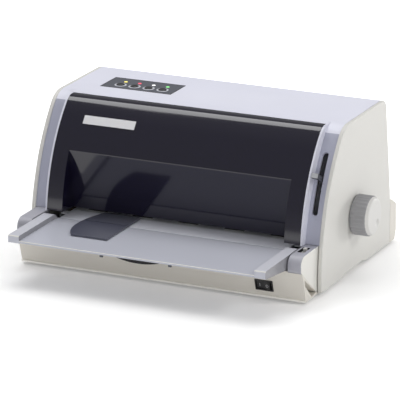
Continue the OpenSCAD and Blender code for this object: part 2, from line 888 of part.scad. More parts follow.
module paper_tray() color([0.72, 0.73, 0.77]) placed() difference() {
    union() {
        // plate with its front lip
        along_x(-tray_half, tray_half) polygon([
            [tray_y, paper_z - lip_h],
            [tray_y, paper_z - 0.6],
            [tray_y + 0.6, paper_z],
            [tray_rear_y, paper_z],
            [tray_rear_y, paper_z - tray_t],
            [tray_y + 3, paper_z - tray_t]
        ]);
        // side rails, which deepen into the hinge arms
        both_sides() along_x(tray_half - rail_w, tray_half) rail_profile();
        // finger grip under the lip, a plate with an arched lower edge
        intersection() {
            block([-finger_w / 2, tray_y + finger_back, 0], [finger_w / 2, tray_y + finger_back + wall, paper_z - past]);
            translate([0, tray_y + finger_back - past, paper_z - tray_t - finger_h + finger_arch_r])
                rotate([-90, 0, 0]) cylinder(h = wall + 2 * past, r = finger_arch_r);
        }
        both_sides() rod(tray_half - 4, block_in + 4.5, tray_hinge_y, tray_hinge_z, tray_pin_r);
    }
    // hollow under the plate between the arms
    block([-tray_half + wall, tray_y + 22, 0], [tray_half - wall, 0, paper_z - tray_t]);
}

module rail_profile() {
    polygon(rounded([
        [tray_y, paper_z - 3.4, 1],
        [tray_y, paper_z + rail_h, 2],
        [-15, paper_z + rail_h, 6],
        [tray_rear_y - 1, paper_z + 1, 0],
        [tray_rear_y - 1, tray_hinge_z - 3, 3],
        [tray_hinge_y - 6, tray_hinge_z - 7, 3],
        [block_y - 1, pan_top_z + 1.6, 6]
    ]));
}

// Outline of the guide plate between two depths, bulging on its outer side
module guide_profile(y0, y1) {
    intersection() {
        polygon(concat(
            [[-guide_x, guide_y], [-guide_x, inner_guide_y]],
            [for (i = [0:arc_steps])
                let (f = 1 - i / arc_steps, w = guide_w + guide_bulge * sin(180 * pow(f, 0.8)))
                [-guide_x - w, guide_y + f * (inner_guide_y - guide_y)]]
        ));
        translate([-case_w, y0]) square([2 * case_w, y1 - y0]);
    }
}

module guide_plate(y0, y1) {
    translate([0, 0, paper_z + glide]) linear_extrude(guide_t) guide_profile(y0, y1);
}

// The seam between the two plates is round about the tray's hinge
module seam(r) {
    rod(-case_w, 0, tray_hinge_y, tray_hinge_z, r);
}

module paper_guide() color([0.29, 0.3, 0.36]) placed() {
    guide_plate(guide_y, tray_hinge_y);
    intersection() {
        guide_plate(tray_hinge_y - past, tray_rear_y);
        seam(seam_r);
    }
}

module inner_guide() color([0.29, 0.3, 0.36]) placed() difference() {
    guide_plate(tray_rear_y - 3, inner_guide_y);
    seam(seam_r + 0.4);
}

// ---------- Paper path and frames ----------

roller_xs = [for (i = [0:roller_count - 1]) (i - (roller_count - 1) / 2) * roller_pitch];

module paper_bed() color([0.72, 0.73, 0.77]) placed() difference() {
    union() {
        block([-bed_half, bed_y, paper_z - bed_t], [bed_half, box_back - 6, paper_z]);
        // tabs that hold the bed in the frames
        for (y = tab_ys) block([-frame_in + fit, y, paper_z - bed_t], [frame_in - fit, y + tab_w, paper_z]);
    }
    // windows for the feed rollers
    for (x = roller_xs, y = feed_ys) translate([x, y, 0])
        block([-roller_l / 2 - 1, -roller_r - 1, 0], [roller_l / 2 + 1, roller_r + 1, case_h]);
    // slot for the platen
    translate([0, print_y, 0])
        block([-bed_half + 8, -platen_d / 2 - 0.5, 0], [bed_half - 8, platen_d / 2 + 0.5, case_h]);
}

module platen() color([0.2, 0.2, 0.2]) placed() translate([0, print_y, 0]) {
    half = bed_half - 9;
    block([-half, -platen_d / 2, paper_z - 6], [half, platen_d / 2, paper_z - 0.3]);
    // ends that reach the frames over the idler gear's stub
    both_sides() block([half, -4, feed_z + idler_stub_r + 0.4], [frame_in, 4, paper_z - bed_t - 0.3]);
}

module frame_profile() {
    polygon(rounded([
        [12, frame_foot_z, 4],
        [frame_back, frame_foot_z, 4],
        [frame_back, frame_top_z - 16, 6],
        [140, frame_top_z, 4],
        [90, frame_top_z, 10],
        [60, 92, 10],
        [24, 88, 8],
        [12, 70, 6]
    ]));
}

// Steel side plate with a foot turned inwards and ledges for the cartridge
module side_frame() {
    difference() {
        union() {
            along_x(frame_in, frame_out) frame_profile();
            for (y = boss_y) translate([frame_in, y, frame_foot_z])
                block([-8, -12, 0], [0.5, 12, frame_t]);
            translate([frame_in, cartridge_y, cartridge_z - fit])
                block([-8, 6, -frame_t], [0.5, 24, 0]);
        }
        for (y = feed_ys) {
            rod(frame_in - past, frame_out + past, y, feed_z, bush_r + fit / 2);
            rod(frame_in - past, frame_out + past, y, pinch_z, pinch_shaft_r + run);
        }
        rod(frame_in - past, frame_out + past, knob_y, knob_z, bush_r + fit / 2);
        rod(frame_in - past, frame_out + past, guide_shaft_y, guide_shaft_z, guide_shaft_r + run);
        rod(frame_in - past, frame_out + past, idler_y, feed_z, idler_stub_r + run);
        rod(frame_in - past, frame_out + past, motor_y, motor_z, 4);
        for (y = tab_ys) translate([0, y, paper_z])
            block([frame_in - past, -fit, -bed_t - fit], [frame_out + past, tab_w + fit, fit]);
    }
}

module left_frame() color([0.7, 0.72, 0.72]) placed() mirror([1, 0, 0]) side_frame();

module right_frame() color([0.7, 0.72, 0.72]) placed() side_frame();

module cross_members() color([0.66, 0.68, 0.68]) placed() {
    w = frame_in - 8.4;
    for (y = boss_y) difference() {
        block([-w, y - member_d / 2, frame_foot_z], [w, y + member_d / 2, frame_foot_z + member_h]);
        block([-w - past, y - member_d / 2 + member_t, frame_foot_z + member_t],
            [w + past, y + member_d / 2 - member_t, frame_foot_z + member_h + past]);
        for (x = boss_x) translate([x, y, 0]) cylinder(h = 20, r = 1.5);
    }
}

// A flanged bush in each shaft hole of the frames
module bush(y, z) {
    difference() {
        union() {
            rod(frame_in - 1.2, frame_out + 0.6, y, z, bush_r);
            rod(frame_in - 1.2, frame_in - 0.1, y, z, bush_r + 1.5);
        }
        rod(frame_in - 3, frame_out + 3, y, z, shaft_r + run);
    }
}

module shaft_bushes() color([0.75, 0.62, 0.35]) placed() {
    both_sides() for (y = feed_ys) bush(y, feed_z);
    bush(knob_y, knob_z);
}

// Shaft of one pair of feed rollers, with a flat end in its gear
module feed_shaft(y) {
    rod(-frame_out - 1.5, gear_x + gear_w + 0.6, y, feed_z, shaft_r);
}

module feed_rollers(y) {
    for (x = roller_xs) difference() {
        rod(x - roller_l / 2, x + roller_l / 2, y, feed_z, roller_r - 0.05);
        rod(x - roller_l, x + roller_l, y, feed_z, shaft_r + 0.02);
    }
}

module front_feed_shaft() color([0.75, 0.76, 0.78]) placed() feed_shaft(front_feed_y);
module rear_feed_shaft() color([0.75, 0.76, 0.78]) placed() feed_shaft(rear_feed_y);
module front_feed_rollers() color([0.16, 0.16, 0.17]) placed() feed_rollers(front_feed_y);
module rear_feed_rollers() color([0.16, 0.16, 0.17]) placed() feed_rollers(rear_feed_y);

module front_feed_gear() color([0.93, 0.93, 0.9]) placed()
    drive_gear(front_feed_y, feed_z, feed_teeth, front_phase, shaft_r + 0.02);
module rear_feed_gear() color([0.93, 0.93, 0.9]) placed()
    drive_gear(rear_feed_y, feed_z, feed_teeth, rear_phase, shaft_r + 0.02);

module idler_gear() color([0.93, 0.93, 0.9]) placed() {
    drive_gear(idler_y, feed_z, idler_teeth, idler_phase, 2);
    rod(frame_in - 2, gear_x + gear_w, idler_y, feed_z, idler_stub_r);
}

// Pinch rollers on their shaft
module pinch_rollers(y) {
    rod(-frame_out - 0.6, frame_out + 0.6, y, pinch_z, pinch_shaft_r);
    for (x = roller_xs) rod(x - roller_l / 2, x + roller_l / 2, y, pinch_z, pinch_r);
}

module front_pinch_roller() color([0.85, 0.85, 0.83]) placed() pinch_rollers(front_feed_y);
module rear_pinch_roller() color([0.85, 0.85, 0.83]) placed() pinch_rollers(rear_feed_y);

module feed_motor() color([0.35, 0.36, 0.38]) placed() difference() {
    union() {
        rod(frame_in - feed_motor_l, frame_in - 1.4, motor_y, motor_z, feed_motor_r);
        along_x(frame_in - 1.4, frame_in - 0.1) polygon(rounded([
            [motor_y - feed_motor_r - 8, motor_z - 5, 4],
            [motor_y + feed_motor_r + 8, motor_z - 5, 4],
            [motor_y + feed_motor_r + 8, motor_z + 5, 4],
            [motor_y - feed_motor_r - 8, motor_z + 5, 4]
        ]));
    }
    rod(frame_in - 12, frame_in + past, motor_y, motor_z, pinion_shaft_r + run);
}

module motor_pinion() color([0.8, 0.7, 0.45]) placed() {
    drive_gear(motor_y, motor_z, pinion_teeth, pinion_phase, pinion_shaft_r - 0.5);
    rod(frame_in - 10, gear_x + gear_w + 0.5, motor_y, motor_z, pinion_shaft_r);
}

// ---------- Knob ----------

module platen_knob() color([0.72, 0.73, 0.76]) placed() difference() {
    translate([case_w / 2 + knob_gap, knob_y, knob_z]) rotate([90, 0, 90]) {
        linear_extrude(knob_out - knob_gap - 4) polygon([
            for (a = [0:2:358]) (knob_r - knob_rib_d / 2 * (1 + cos(knob_ribs * a))) * [cos(a), sin(a)]
        ]);
        translate([0, 0, knob_out - knob_gap - 4]) cylinder(h = 4, r1 = knob_r - 0.8, r2 = knob_r - 3);
    }
    // hub bore for the shaft
    rod(case_w / 2, case_w / 2 + knob_out - 6, knob_y, knob_z, shaft_r + 0.02);
    // finger dimple near the rim
    translate([case_w / 2 + knob_out + 5, knob_y + knob_r * 0.35, knob_z - knob_r * 0.42]) sphere(r = 6.2);
}

module knob_shaft() color([0.75, 0.76, 0.78]) placed()
    rod(frame_in - 4, case_w / 2 + knob_out - 6.5, knob_y, knob_z, shaft_r);

module knob_gear() color([0.93, 0.93, 0.9]) placed()
    drive_gear(knob_y, knob_z, knob_teeth, knob_phase, shaft_r + 0.02);

// ---------- Print head and carriage ----------

module guide_shaft() color([0.8, 0.81, 0.82]) placed()
    rod(-frame_out - 1.5, lever_x + lever_t / 2 + 2, guide_shaft_y, guide_shaft_z, guide_shaft_r);

module rear_rail() color([0.68, 0.7, 0.7]) placed() {
    w = frame_in - 0.1;
    block([-w, rail_y, rail_z], [w, rail_y + rail_t, rail_top]);
    block([-w + 8, rail_y + rail_t - 0.5, rail_z], [w - 8, shelf_back, rail_z + rail_t]);
}

module carriage() color([0.18, 0.18, 0.2]) placed() {
    half = carriage_w / 2;
    difference() {
        union() {
            rod(-half, half, guide_shaft_y, guide_shaft_z, hub_r);
            // wall behind the head
            block([-half, head_back + 0.2, head_low + 2], [half, guide_shaft_y - hub_r + 1, arm_z + arm_t]);
            // arm over to the rear rail
            block([-half, head_back + 0.2, arm_z], [half, rail_y + rail_t + 5, arm_z + arm_t]);
            // block that joins the hub and the arm
            translate([0, guide_shaft_y, 0])
                block([-half, -5, guide_shaft_z + hub_r - 3], [half, 5, arm_z + 1]);
            // fork over the rail
            block([-half, rail_y - 3.4, rail_z + 4], [half, rail_y - 0.4, arm_z + 1]);
            translate([0, rail_y + rail_t, 0]) block([-half, 0.4, rail_z + 4], [half, 3.4, arm_z + 1]);
            // tongue under the head cable
            block([-10, rail_y + rail_t + 4, arm_z], [10, cable_back, arm_z + arm_t]);
            // belt clamp
            block([-8, run_y - 2.8, arm_z + arm_t - 0.5], [8, run_y - belt_t / 2 - 0.3, belt_z + belt_w]);
            block([-8, run_y + belt_t / 2 + 0.3, arm_z + arm_t - 0.5], [8, run_y + 2.8, belt_z + belt_w]);
        }
        rod(-half - past, half + past, guide_shaft_y, guide_shaft_z, guide_shaft_r + run);
    }
}

module print_head() color([0.45, 0.46, 0.48]) placed() {
    difference() {
        union() {
            block([-head_w / 2, head_front, head_low], [head_w / 2, head_back, head_high]);
            along_x(-9, 9) polygon([
                [print_y - 3.5, nose_z],
                [print_y + 3.5, nose_z],
                [head_back - 1, head_low + 0.5],
                [print_y - 10, head_low + 0.5]
            ]);
        }
        for (i = [0:fin_count - 1]) let (x = -head_w / 2 + (i + 1) * head_w / (fin_count + 1))
            block([x - 1.4, head_front - past, head_low + 10], [x + 1.4, head_back - 9, head_high + past]);
    }
}

module drive_belt() color([0.13, 0.13, 0.13]) placed() translate([0, belt_y, belt_z]) linear_extrude(belt_w)
    difference() {
        belt_loop(pulley_r + belt_gap + belt_t);
        belt_loop(pulley_r + belt_gap);
    }

module belt_loop(r) {
    for (x = [-pulley_x, pulley_x]) translate([x, 0]) circle(r = r);
    square([2 * pulley_x, 2 * r], center = true);
}

// Toothless pulley between two flanges
module pulley(bore_r) {
    difference() {
        union() {
            translate([0, 0, belt_z - 0.7]) cylinder(h = belt_w + 1.4, r = pulley_r);
            for (z = [belt_z - 0.7, belt_z + belt_w + 0.2]) translate([0, 0, z])
                cylinder(h = 0.5, r = pulley_r + belt_t + 0.4);
        }
        translate([0, 0, belt_z - 2]) cylinder(h = belt_w + 4, r = bore_r);
    }
}

module drive_pulley() color([0.85, 0.85, 0.82]) placed() translate([-pulley_x, belt_y, 0]) {
    pulley(1.5);
    translate([0, 0, belt_z]) cylinder(h = bracket_z + bracket_t + 8 - belt_z, r = 2);
}

module idler_pulley() color([0.85, 0.85, 0.82]) placed() translate([pulley_x, belt_y, 0]) pulley(2 + run);

module carriage_motor() color([0.35, 0.36, 0.38]) placed()
    translate([-pulley_x, belt_y, bracket_z + bracket_t + 0.1]) difference() {
        union() {
            cylinder(h = carriage_motor_l, r = carriage_motor_r);
            translate([0, 0, carriage_motor_l - 0.5]) cylinder(h = 3, r = 5);
        }
        translate([0, 0, -past]) cylinder(h = 12, r = 2 + run);
    }

module belt_bracket() color([0.68, 0.7, 0.7]) placed() {
    both_sides() difference() {
        block([pulley_x - 20, belt_y - 19, bracket_z], [frame_in - 0.1, belt_y + 19, bracket_z + bracket_t]);
        translate([pulley_x, belt_y, 0]) cylinder(h = case_h, r = 4);
    }
    // the idler turns on a pin
    translate([pulley_x, belt_y, belt_z - 1.4]) cylinder(h = bracket_z + bracket_t - belt_z + 1.4, r = 2);
    translate([pulley_x, belt_y, belt_z - 1.6]) cylinder(h = 0.7, r = 3.4);
    translate([pulley_x, belt_y, bracket_z]) cylinder(h = bracket_t, r = 4.5);
}

// Flat cable that rolls from the shelf over to the carriage and drops past the paper bed
module head_cable() color([0.85, 0.85, 0.86]) placed() along_y(cable_back - cable_w, cable_back) {
    mid = (cable_low + cable_high + cable_t) / 2;
    r = (cable_high - cable_low + cable_t) / 2;
    drop_x = -frame_in + 4;
    translate([0, cable_high]) square([cable_x, cable_t]);
    intersection() {
        translate([cable_x, mid]) difference() {
            circle(r = r);
            circle(r = r - cable_t);
        }
        translate([cable_x, 0]) square([2 * r, case_h]);
    }
    translate([drop_x, cable_low]) square([cable_x - drop_x, cable_t]);
    translate([drop_x, socket_top + 0.2]) square([cable_t, cable_low - socket_top]);
}

// ---------- Ribbon ----------

module ribbon_cartridge() color([0.1, 0.1, 0.11]) placed() {
    lid = cartridge_z + cartridge_h;
    difference() {
        union() {
            along_x(-cartridge_half, cartridge_half) polygon(rounded([
                [cartridge_y, cartridge_z, 1],
                [cartridge_y + cartridge_d, cartridge_z, 1],
                [cartridge_y + cartridge_d, lid, 3],
                [cartridge_y, lid, 3]
            ]));
            // arms that carry the ribbon
            both_sides() translate([arm_x, 0, 0]) {
                block([0, cartridge_y + cartridge_d - 4, cartridge_z], [arm_w, arm_end, cartridge_z + 6]);
                block([0, print_y - ribbon_w / 2 - 3, ribbon_z - 0.6], [arm_w, arm_end, cartridge_z + 1]);
            }
        }
        translate([ribbon_knob_x, cartridge_y + cartridge_d / 2, lid - 6]) cylinder(h = 10, r = 3 + run);
    }
}

module ribbon_knob() color([0.2, 0.35, 0.6]) placed()
    translate([ribbon_knob_x, cartridge_y + cartridge_d / 2, cartridge_z + cartridge_h]) {
        translate([0, 0, -5]) cylinder(h = 6, r = 3);
        translate([0, 0, 0.4]) linear_extrude(6) polygon([
            for (a = [0:5:355]) (ribbon_knob_r - 0.4 * (1 + cos(12 * a))) * [cos(a), sin(a)]
        ]);
    }

module ink_ribbon() color([0.05, 0.05, 0.07]) placed()
    block([-arm_x, print_y - ribbon_w / 2, ribbon_z], [arm_x, print_y + ribbon_w / 2, ribbon_z + ribbon_t]);

// ---------- Lever ----------

module thickness_lever() color([0.3, 0.31, 0.34]) placed()
    translate([lever_x, guide_shaft_y, guide_shaft_z]) rotate([180 - lever_angle, 0, 0]) {
        difference() {
            union() {
                rotate([0, 90, 0]) cylinder(h = lever_t, r = guide_shaft_r + 3.5, center = true);
                block([-lever_t / 2, 6, -3], [lever_t / 2, lever_l, 3]);
                block([-lever_t / 2 - 4.4, lever_l - lever_tab, -3], [lever_t / 2, lever_l, 3]);
            }
            rotate([0, 90, 0]) cylinder(h = lever_t + 2, r = guide_shaft_r + run, center = true);
        }
    }

// ---------- Controls ----------

function button_x(i) = button_x0 + i * button_pitch;

module control_panel() color([0.42, 0.43, 0.47]) placed() difference() {
    union() {
        block([-panel_x + window_gap, panel_y + window_gap, case_h - panel_t],
            [-panel_x + panel_w - window_gap, panel_y + panel_d - window_gap, case_h]);
        // rim that lies against the top from below
        block([-panel_x - 3, panel_y - 3, case_h - panel_t - 1.6],
            [-panel_x + panel_w + 3, panel_y + panel_d + 3, case_h - wall - fit]);
        // posts for the small board
        for (x = [-panel_x + 6, -panel_x + panel_w - 6], y = [panel_y + 6, panel_y + panel_d - 6])
            translate([x, y, board_z + 1.6]) cylinder(h = case_h - panel_t - board_z - 1.6, r = 3);
    }
    for (i = [0:button_count - 1]) {
        translate([button_x(i), button_y, board_z]) cylinder(h = 20, r = button_r + 0.25);
        translate([button_x(i), button_y + light_back, board_z]) cylinder(h = 20, r = light_r + 0.1);
    }
}

module button(i) {
    translate([button_x(i), button_y, 0]) {
        translate([0, 0, case_h - 5.6]) cylinder(h = 5.6 + button_proud, r = button_r);
        translate([0, 0, board_z + 1.6 + 2.4]) cylinder(h = case_h - board_z - 8, r = button_r - 1.5);
    }
}

module button_1() color([0.06, 0.06, 0.07]) placed() button(0);
module button_2() color([0.06, 0.06, 0.07]) placed() button(1);
module button_3() color([0.06, 0.06, 0.07]) placed() button(2);
module button_4() color([0.06, 0.06, 0.07]) placed() button(3);

module status_lights() placed() {
    hues = [[0.9, 0.8, 0.3], [0.9, 0.3, 0.25], [0.95, 0.95, 0.95], [0.4, 0.85, 0.4]];
    for (i = [0:button_count - 1]) color(hues[i])
        translate([button_x(i), button_y + light_back, board_z + 1.6])
            cylinder(h = case_h + 0.4 - board_z - 1.6, r = light_r);
}

module panel_board() color([0.1, 0.4, 0.2]) placed() {
    translate([-panel_x, panel_y, board_z]) block([1, 1, 0], [panel_w - 1, panel_d - 1, 1.6]);
    // key switches under the buttons
    for (i = [0:button_count - 1]) translate([button_x(i), button_y, board_z])
        block([-3, -3, 1.5], [3, 3, 2.8]);
}

// Frame and body of the power switch
module power_switch() color([0.05, 0.05, 0.05]) placed() on_front(switch_x, switch_z) difference() {
    union() {
        block([-switch_w / 2, -1.6, -switch_h / 2], [switch_w / 2, -0.1, switch_h / 2]);
        block([-switch_hole_w / 2 + fit, -0.2, -switch_hole_h / 2 + fit],
            [switch_hole_w / 2 - fit, 16, switch_hole_h / 2 - fit]);
        block([-4, 15, -3], [-3, 22, 3]);
        block([3, 15, -3], [4, 22, 3]);
    }
    block([-rocker_w / 2 - 0.6, -3, -rocker_h / 2 - 0.3], [rocker_w / 2 + 0.6, 11, rocker_h / 2 + 0.3]);
    translate([0, rocker_pivot, -switch_h / 2 + 0.6]) cylinder(h = switch_h - 1.2, r = 1.2 + run);
}

module switch_rocker() color([0.07, 0.07, 0.07]) placed() on_front(switch_x, switch_z)
    translate([0, rocker_pivot, 0]) rotate([0, 0, -rocker_tilt]) {
        translate([0, 0, -rocker_h / 2]) linear_extrude(rocker_h) polygon([
            [-rocker_w / 2 + 0.6, -rocker_pivot - 1.4],
            [0, -rocker_pivot - 0.4],
            [rocker_w / 2 - 0.6, -rocker_pivot - 1.4],
            [rocker_w / 2 - 1.6, 3],
            [3, 5.5],
            [-3, 5.5],
            [-rocker_w / 2 + 1.6, 3]
        ]);
        translate([0, 0, -rocker_h / 2 - 0.8]) cylinder(h = rocker_h + 1.6, r = 1.2);
    }

module tray_latch() color([0.55, 0.56, 0.6]) placed()
    translate([latch_x, latch_y + latch_l, block_z - latch_d]) {
        block([-latch_w / 2 + 0.4, -9, 0.2], [latch_w / 2 - 0.4, -0.5, 2.6]);
        block([-2, -7.5, 2], [2, -2.5, latch_d + 1]);
    }

// ---------- Electronics ----------

module main_board() color([0.1, 0.4, 0.22]) placed() difference() {
    union() {
        top = main_board_z + main_board_t;
        block([main_board_lo[0], main_board_lo[1], main_board_z], [main_board_hi[0], main_board_hi[1], top]);
        // socket of the head cable
        translate([-frame_in, cable_back, 0]) block([2, -cable_w - 1, top - 0.1], [8, 4, socket_top]);
        // processor, drivers and memory
        for (p = [[-110, 180, 28, 28], [-60, 178, 18, 12], [-60, 196, 18, 12], [-20, 186, 12, 24]])
            block([p[0], p[1], top - 0.1], [p[0] + p[2], p[1] + p[3], top + 2.6]);
        // capacitors
        for (p = [[10, 170], [10, 186], [24, 178]]) translate([p[0], p[1], top - 0.1])
            cylinder(h = 18, r = 6);
    }
    for (p = board_posts) translate([p[0], p[1], 0]) cylinder(h = 30, r = 1.4);
}

module power_supply() color([0.6, 0.62, 0.62]) placed() difference() {
    block(supply_lo, supply_hi);
    vent_z = supply_hi[2] - vent_w;
    for (x = [supply_lo[0] + vent_pitch:vent_pitch:supply_hi[0] - vent_pitch])
        block([x, supply_lo[1] + vent_margin, vent_z], [x + vent_w, supply_hi[1] - vent_margin, vent_z + 2 * vent_w]);
}

// Printer port, square port and mains inlet in the rear wall
module rear_sockets() color([0.12, 0.12, 0.13]) placed() for (s = sockets) {
    w = s[2] / 2;
    h = s[3] / 2;
    translate([s[0], box_back - 0.6, s[1]]) {
        difference() {
            block([-w, -16, -h], [w, 0, h]);
            block([-w + 2, -10, -h + 2], [w - 2, past, h - 2]);
        }
        // tongue with the contacts
        block([-w / 2, -11, -1.5], [w / 2, -3, 1.5]);
    }
}

base_pan();
left_front_block();
right_front_block();
upper_case();
left_side_panel();
right_side_panel();
rubber_feet();
case_screws();
front_cover();
name_plate();
paper_tray();
paper_guide();
inner_guide();
paper_bed();
platen();
left_frame();
right_frame();
cross_members();
shaft_bushes();
power_supply();
front_feed_shaft();
front_feed_rollers();
front_feed_gear();
rear_feed_shaft();
rear_feed_rollers();
rear_feed_gear();
idler_gear();
front_pinch_roller();
rear_pinch_roller();
feed_motor();
motor_pinion();
platen_knob();
knob_shaft();
knob_gear();
guide_shaft();
rear_rail();
carriage();
print_head();
drive_belt();
drive_pulley();
idler_pulley();
carriage_motor();
belt_bracket();
ribbon_cartridge();
ribbon_knob();
ink_ribbon();
head_cable();
thickness_lever();
control_panel();
button_1();
button_2();
button_3();
button_4();
status_lights();
panel_board();
power_switch();
switch_rocker();
tray_latch();
main_board();
rear_sockets();
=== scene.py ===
import json
import math

import bmesh
import bpy
from mathutils import Matrix, Vector


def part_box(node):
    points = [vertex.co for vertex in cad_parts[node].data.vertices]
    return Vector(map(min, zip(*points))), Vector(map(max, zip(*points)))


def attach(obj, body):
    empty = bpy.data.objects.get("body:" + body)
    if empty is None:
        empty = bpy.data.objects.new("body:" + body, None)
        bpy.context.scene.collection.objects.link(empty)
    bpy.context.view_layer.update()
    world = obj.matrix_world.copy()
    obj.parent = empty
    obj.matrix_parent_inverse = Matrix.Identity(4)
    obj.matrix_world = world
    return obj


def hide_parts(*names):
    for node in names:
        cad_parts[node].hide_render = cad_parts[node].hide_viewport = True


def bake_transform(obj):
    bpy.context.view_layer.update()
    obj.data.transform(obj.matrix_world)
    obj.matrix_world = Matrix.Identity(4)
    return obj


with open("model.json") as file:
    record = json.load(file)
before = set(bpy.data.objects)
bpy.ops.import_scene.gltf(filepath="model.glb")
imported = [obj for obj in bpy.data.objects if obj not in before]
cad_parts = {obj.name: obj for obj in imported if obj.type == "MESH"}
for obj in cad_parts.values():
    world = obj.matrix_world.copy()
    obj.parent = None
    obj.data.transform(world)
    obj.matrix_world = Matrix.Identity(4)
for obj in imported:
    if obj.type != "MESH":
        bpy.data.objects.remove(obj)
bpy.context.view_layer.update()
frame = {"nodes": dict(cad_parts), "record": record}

NODES = frame["nodes"]
BODY = {n: b for b, names in frame["record"]["behaviour"]["bodies"].items() for n in names}
SLOT = {s["node"]: s["material_slot"] for s in frame["record"]["subparts"]}
MM = 0.001
# Places are in millimetres from the case's centre plane and front, this far from the object's own origin
SHIFT = Vector((12, 62, 0))


def at(x, y, z):
    """A place in millimetres as a point of the object's frame."""
    return (Vector((x, y, z)) - SHIFT) * MM


def reach(node):
    """Lowest and highest corner of a node in millimetres."""
    return [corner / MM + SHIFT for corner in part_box(node)]


def tint(r, g, b):
    """A colour as the screen shows it, 0 to 255, for a shader."""
    out = []
    for c in (r / 255, g / 255, b / 255):
        out.append(c / 12.92 if c <= 0.04045 else ((c + 0.055) / 1.055) ** 2.4)
    return (*out, 1.0)


# ---------- Materials ----------

# Depth of the moulded grain in metres, and scale of the uneven tone
GRAIN_DEPTH = 0.00012
TONE_SCALE = 22
# Range of the edges' sharpness over which the surface is rubbed
WORN = (0.53, 0.62)


def noise(nt, vector, scale, detail):
    """A noise texture on a vector."""
    node = nt.nodes.new("ShaderNodeTexNoise")
    node.inputs["Scale"].default_value = scale
    node.inputs["Detail"].default_value = detail
    nt.links.new(vector, node.inputs["Vector"])
    return node.outputs["Fac"]


def mix_colours(nt, factor, a, b):
    """A mix of two colours, each a tuple or an output."""
    node = nt.nodes.new("ShaderNodeMix")
    node.data_type = "RGBA"
    nt.links.new(factor, node.inputs["Factor"])
    for name, value in (("A", a), ("B", b)):
        if isinstance(value, tuple):
            node.inputs[name].default_value = value
        else:
            nt.links.new(value, node.inputs[name])
    return node.outputs["Result"]


def map_range(nt, value, lo, hi, to_lo, to_hi):
    """A value's range carried over to another range."""
    node = nt.nodes.new("ShaderNodeMapRange")
    for name, number in (("From Min", lo), ("From Max", hi), ("To Min", to_lo), ("To Max", to_hi)):
        node.inputs[name].default_value = number
    nt.links.new(value, node.inputs["Value"])
    return node.outputs["Result"]


def surface(name, colour, rough=0.45, grain=0.12, grain_mm=0.35, mottle=0.025, metal=0.0,
            brushed=None, level=0.5, glow=0.0, wear=0.0):
    """A moulded, painted or metal surface with its grain, uneven tone and rubbed edges."""
    mat = bpy.data.materials.new(name)
    mat.use_nodes = True
    nt = mat.node_tree
    bsdf = nt.nodes["Principled BSDF"]
    coord = nt.nodes.new("ShaderNodeTexCoord").outputs["Object"]
    place = nt.nodes.new("ShaderNodeMapping")
    nt.links.new(coord, place.inputs["Vector"])
    if brushed:
        place.inputs["Scale"].default_value = brushed
    fine = noise(nt, place.outputs["Vector"], 1 / (grain_mm * MM), 3)
    bump = nt.nodes.new("ShaderNodeBump")
    bump.inputs["Strength"].default_value = grain
    bump.inputs["Distance"].default_value = GRAIN_DEPTH
    nt.links.new(fine, bump.inputs["Height"])
    nt.links.new(bump.outputs["Normal"], bsdf.inputs["Normal"])
    broad = noise(nt, coord, TONE_SCALE, 5)
    dark = tuple(c * (1 - mottle) for c in colour[:3]) + (1,)
    pale = tuple(min(1, c * (1 + mottle)) for c in colour[:3]) + (1,)
    shown = mix_colours(nt, broad, dark, pale)
    if wear:
        edge = nt.nodes.new("ShaderNodeNewGeometry").outputs["Pointiness"]
        rubbed = tuple(c + (1 - c) * 0.5 for c in colour[:3]) + (1,)
        shown = mix_colours(nt, map_range(nt, edge, *WORN, 0, wear), shown, rubbed)
    nt.links.new(shown, bsdf.inputs["Base Color"])
    gloss = map_range(nt, fine if brushed else broad, 0, 1, rough * 0.88, rough * 1.12)
    nt.links.new(gloss, bsdf.inputs["Roughness"])
    bsdf.inputs["Metallic"].default_value = metal
    bsdf.inputs["Specular IOR Level"].default_value = level
    if glow:
        bsdf.inputs["Emission Color"].default_value = colour
        bsdf.inputs["Emission Strength"].default_value = glow
    return mat


def board_surface():
    """Solder mask with copper tracks under it."""
    mat = surface("board_green", tint(28, 92, 54), rough=0.3, mottle=0.1)
    nt = mat.node_tree
    bsdf = nt.nodes["Principled BSDF"]
    coord = nt.nodes.new("ShaderNodeTexCoord").outputs["Object"]
    tracks = nt.nodes.new("ShaderNodeTexWave")
    tracks.inputs["Scale"].default_value = 180
    tracks.inputs["Distortion"].default_value = 3.5
    tracks.inputs["Detail"].default_value = 0
    nt.links.new(coord, tracks.inputs["Vector"])
    line = map_range(nt, tracks.outputs["Fac"], 0.62, 0.7, 0, 0.55)
    before = bsdf.inputs["Base Color"].links[0].from_socket
    nt.links.new(mix_colours(nt, line, before, tint(70, 142, 88)), bsdf.inputs["Base Color"])
    return mat


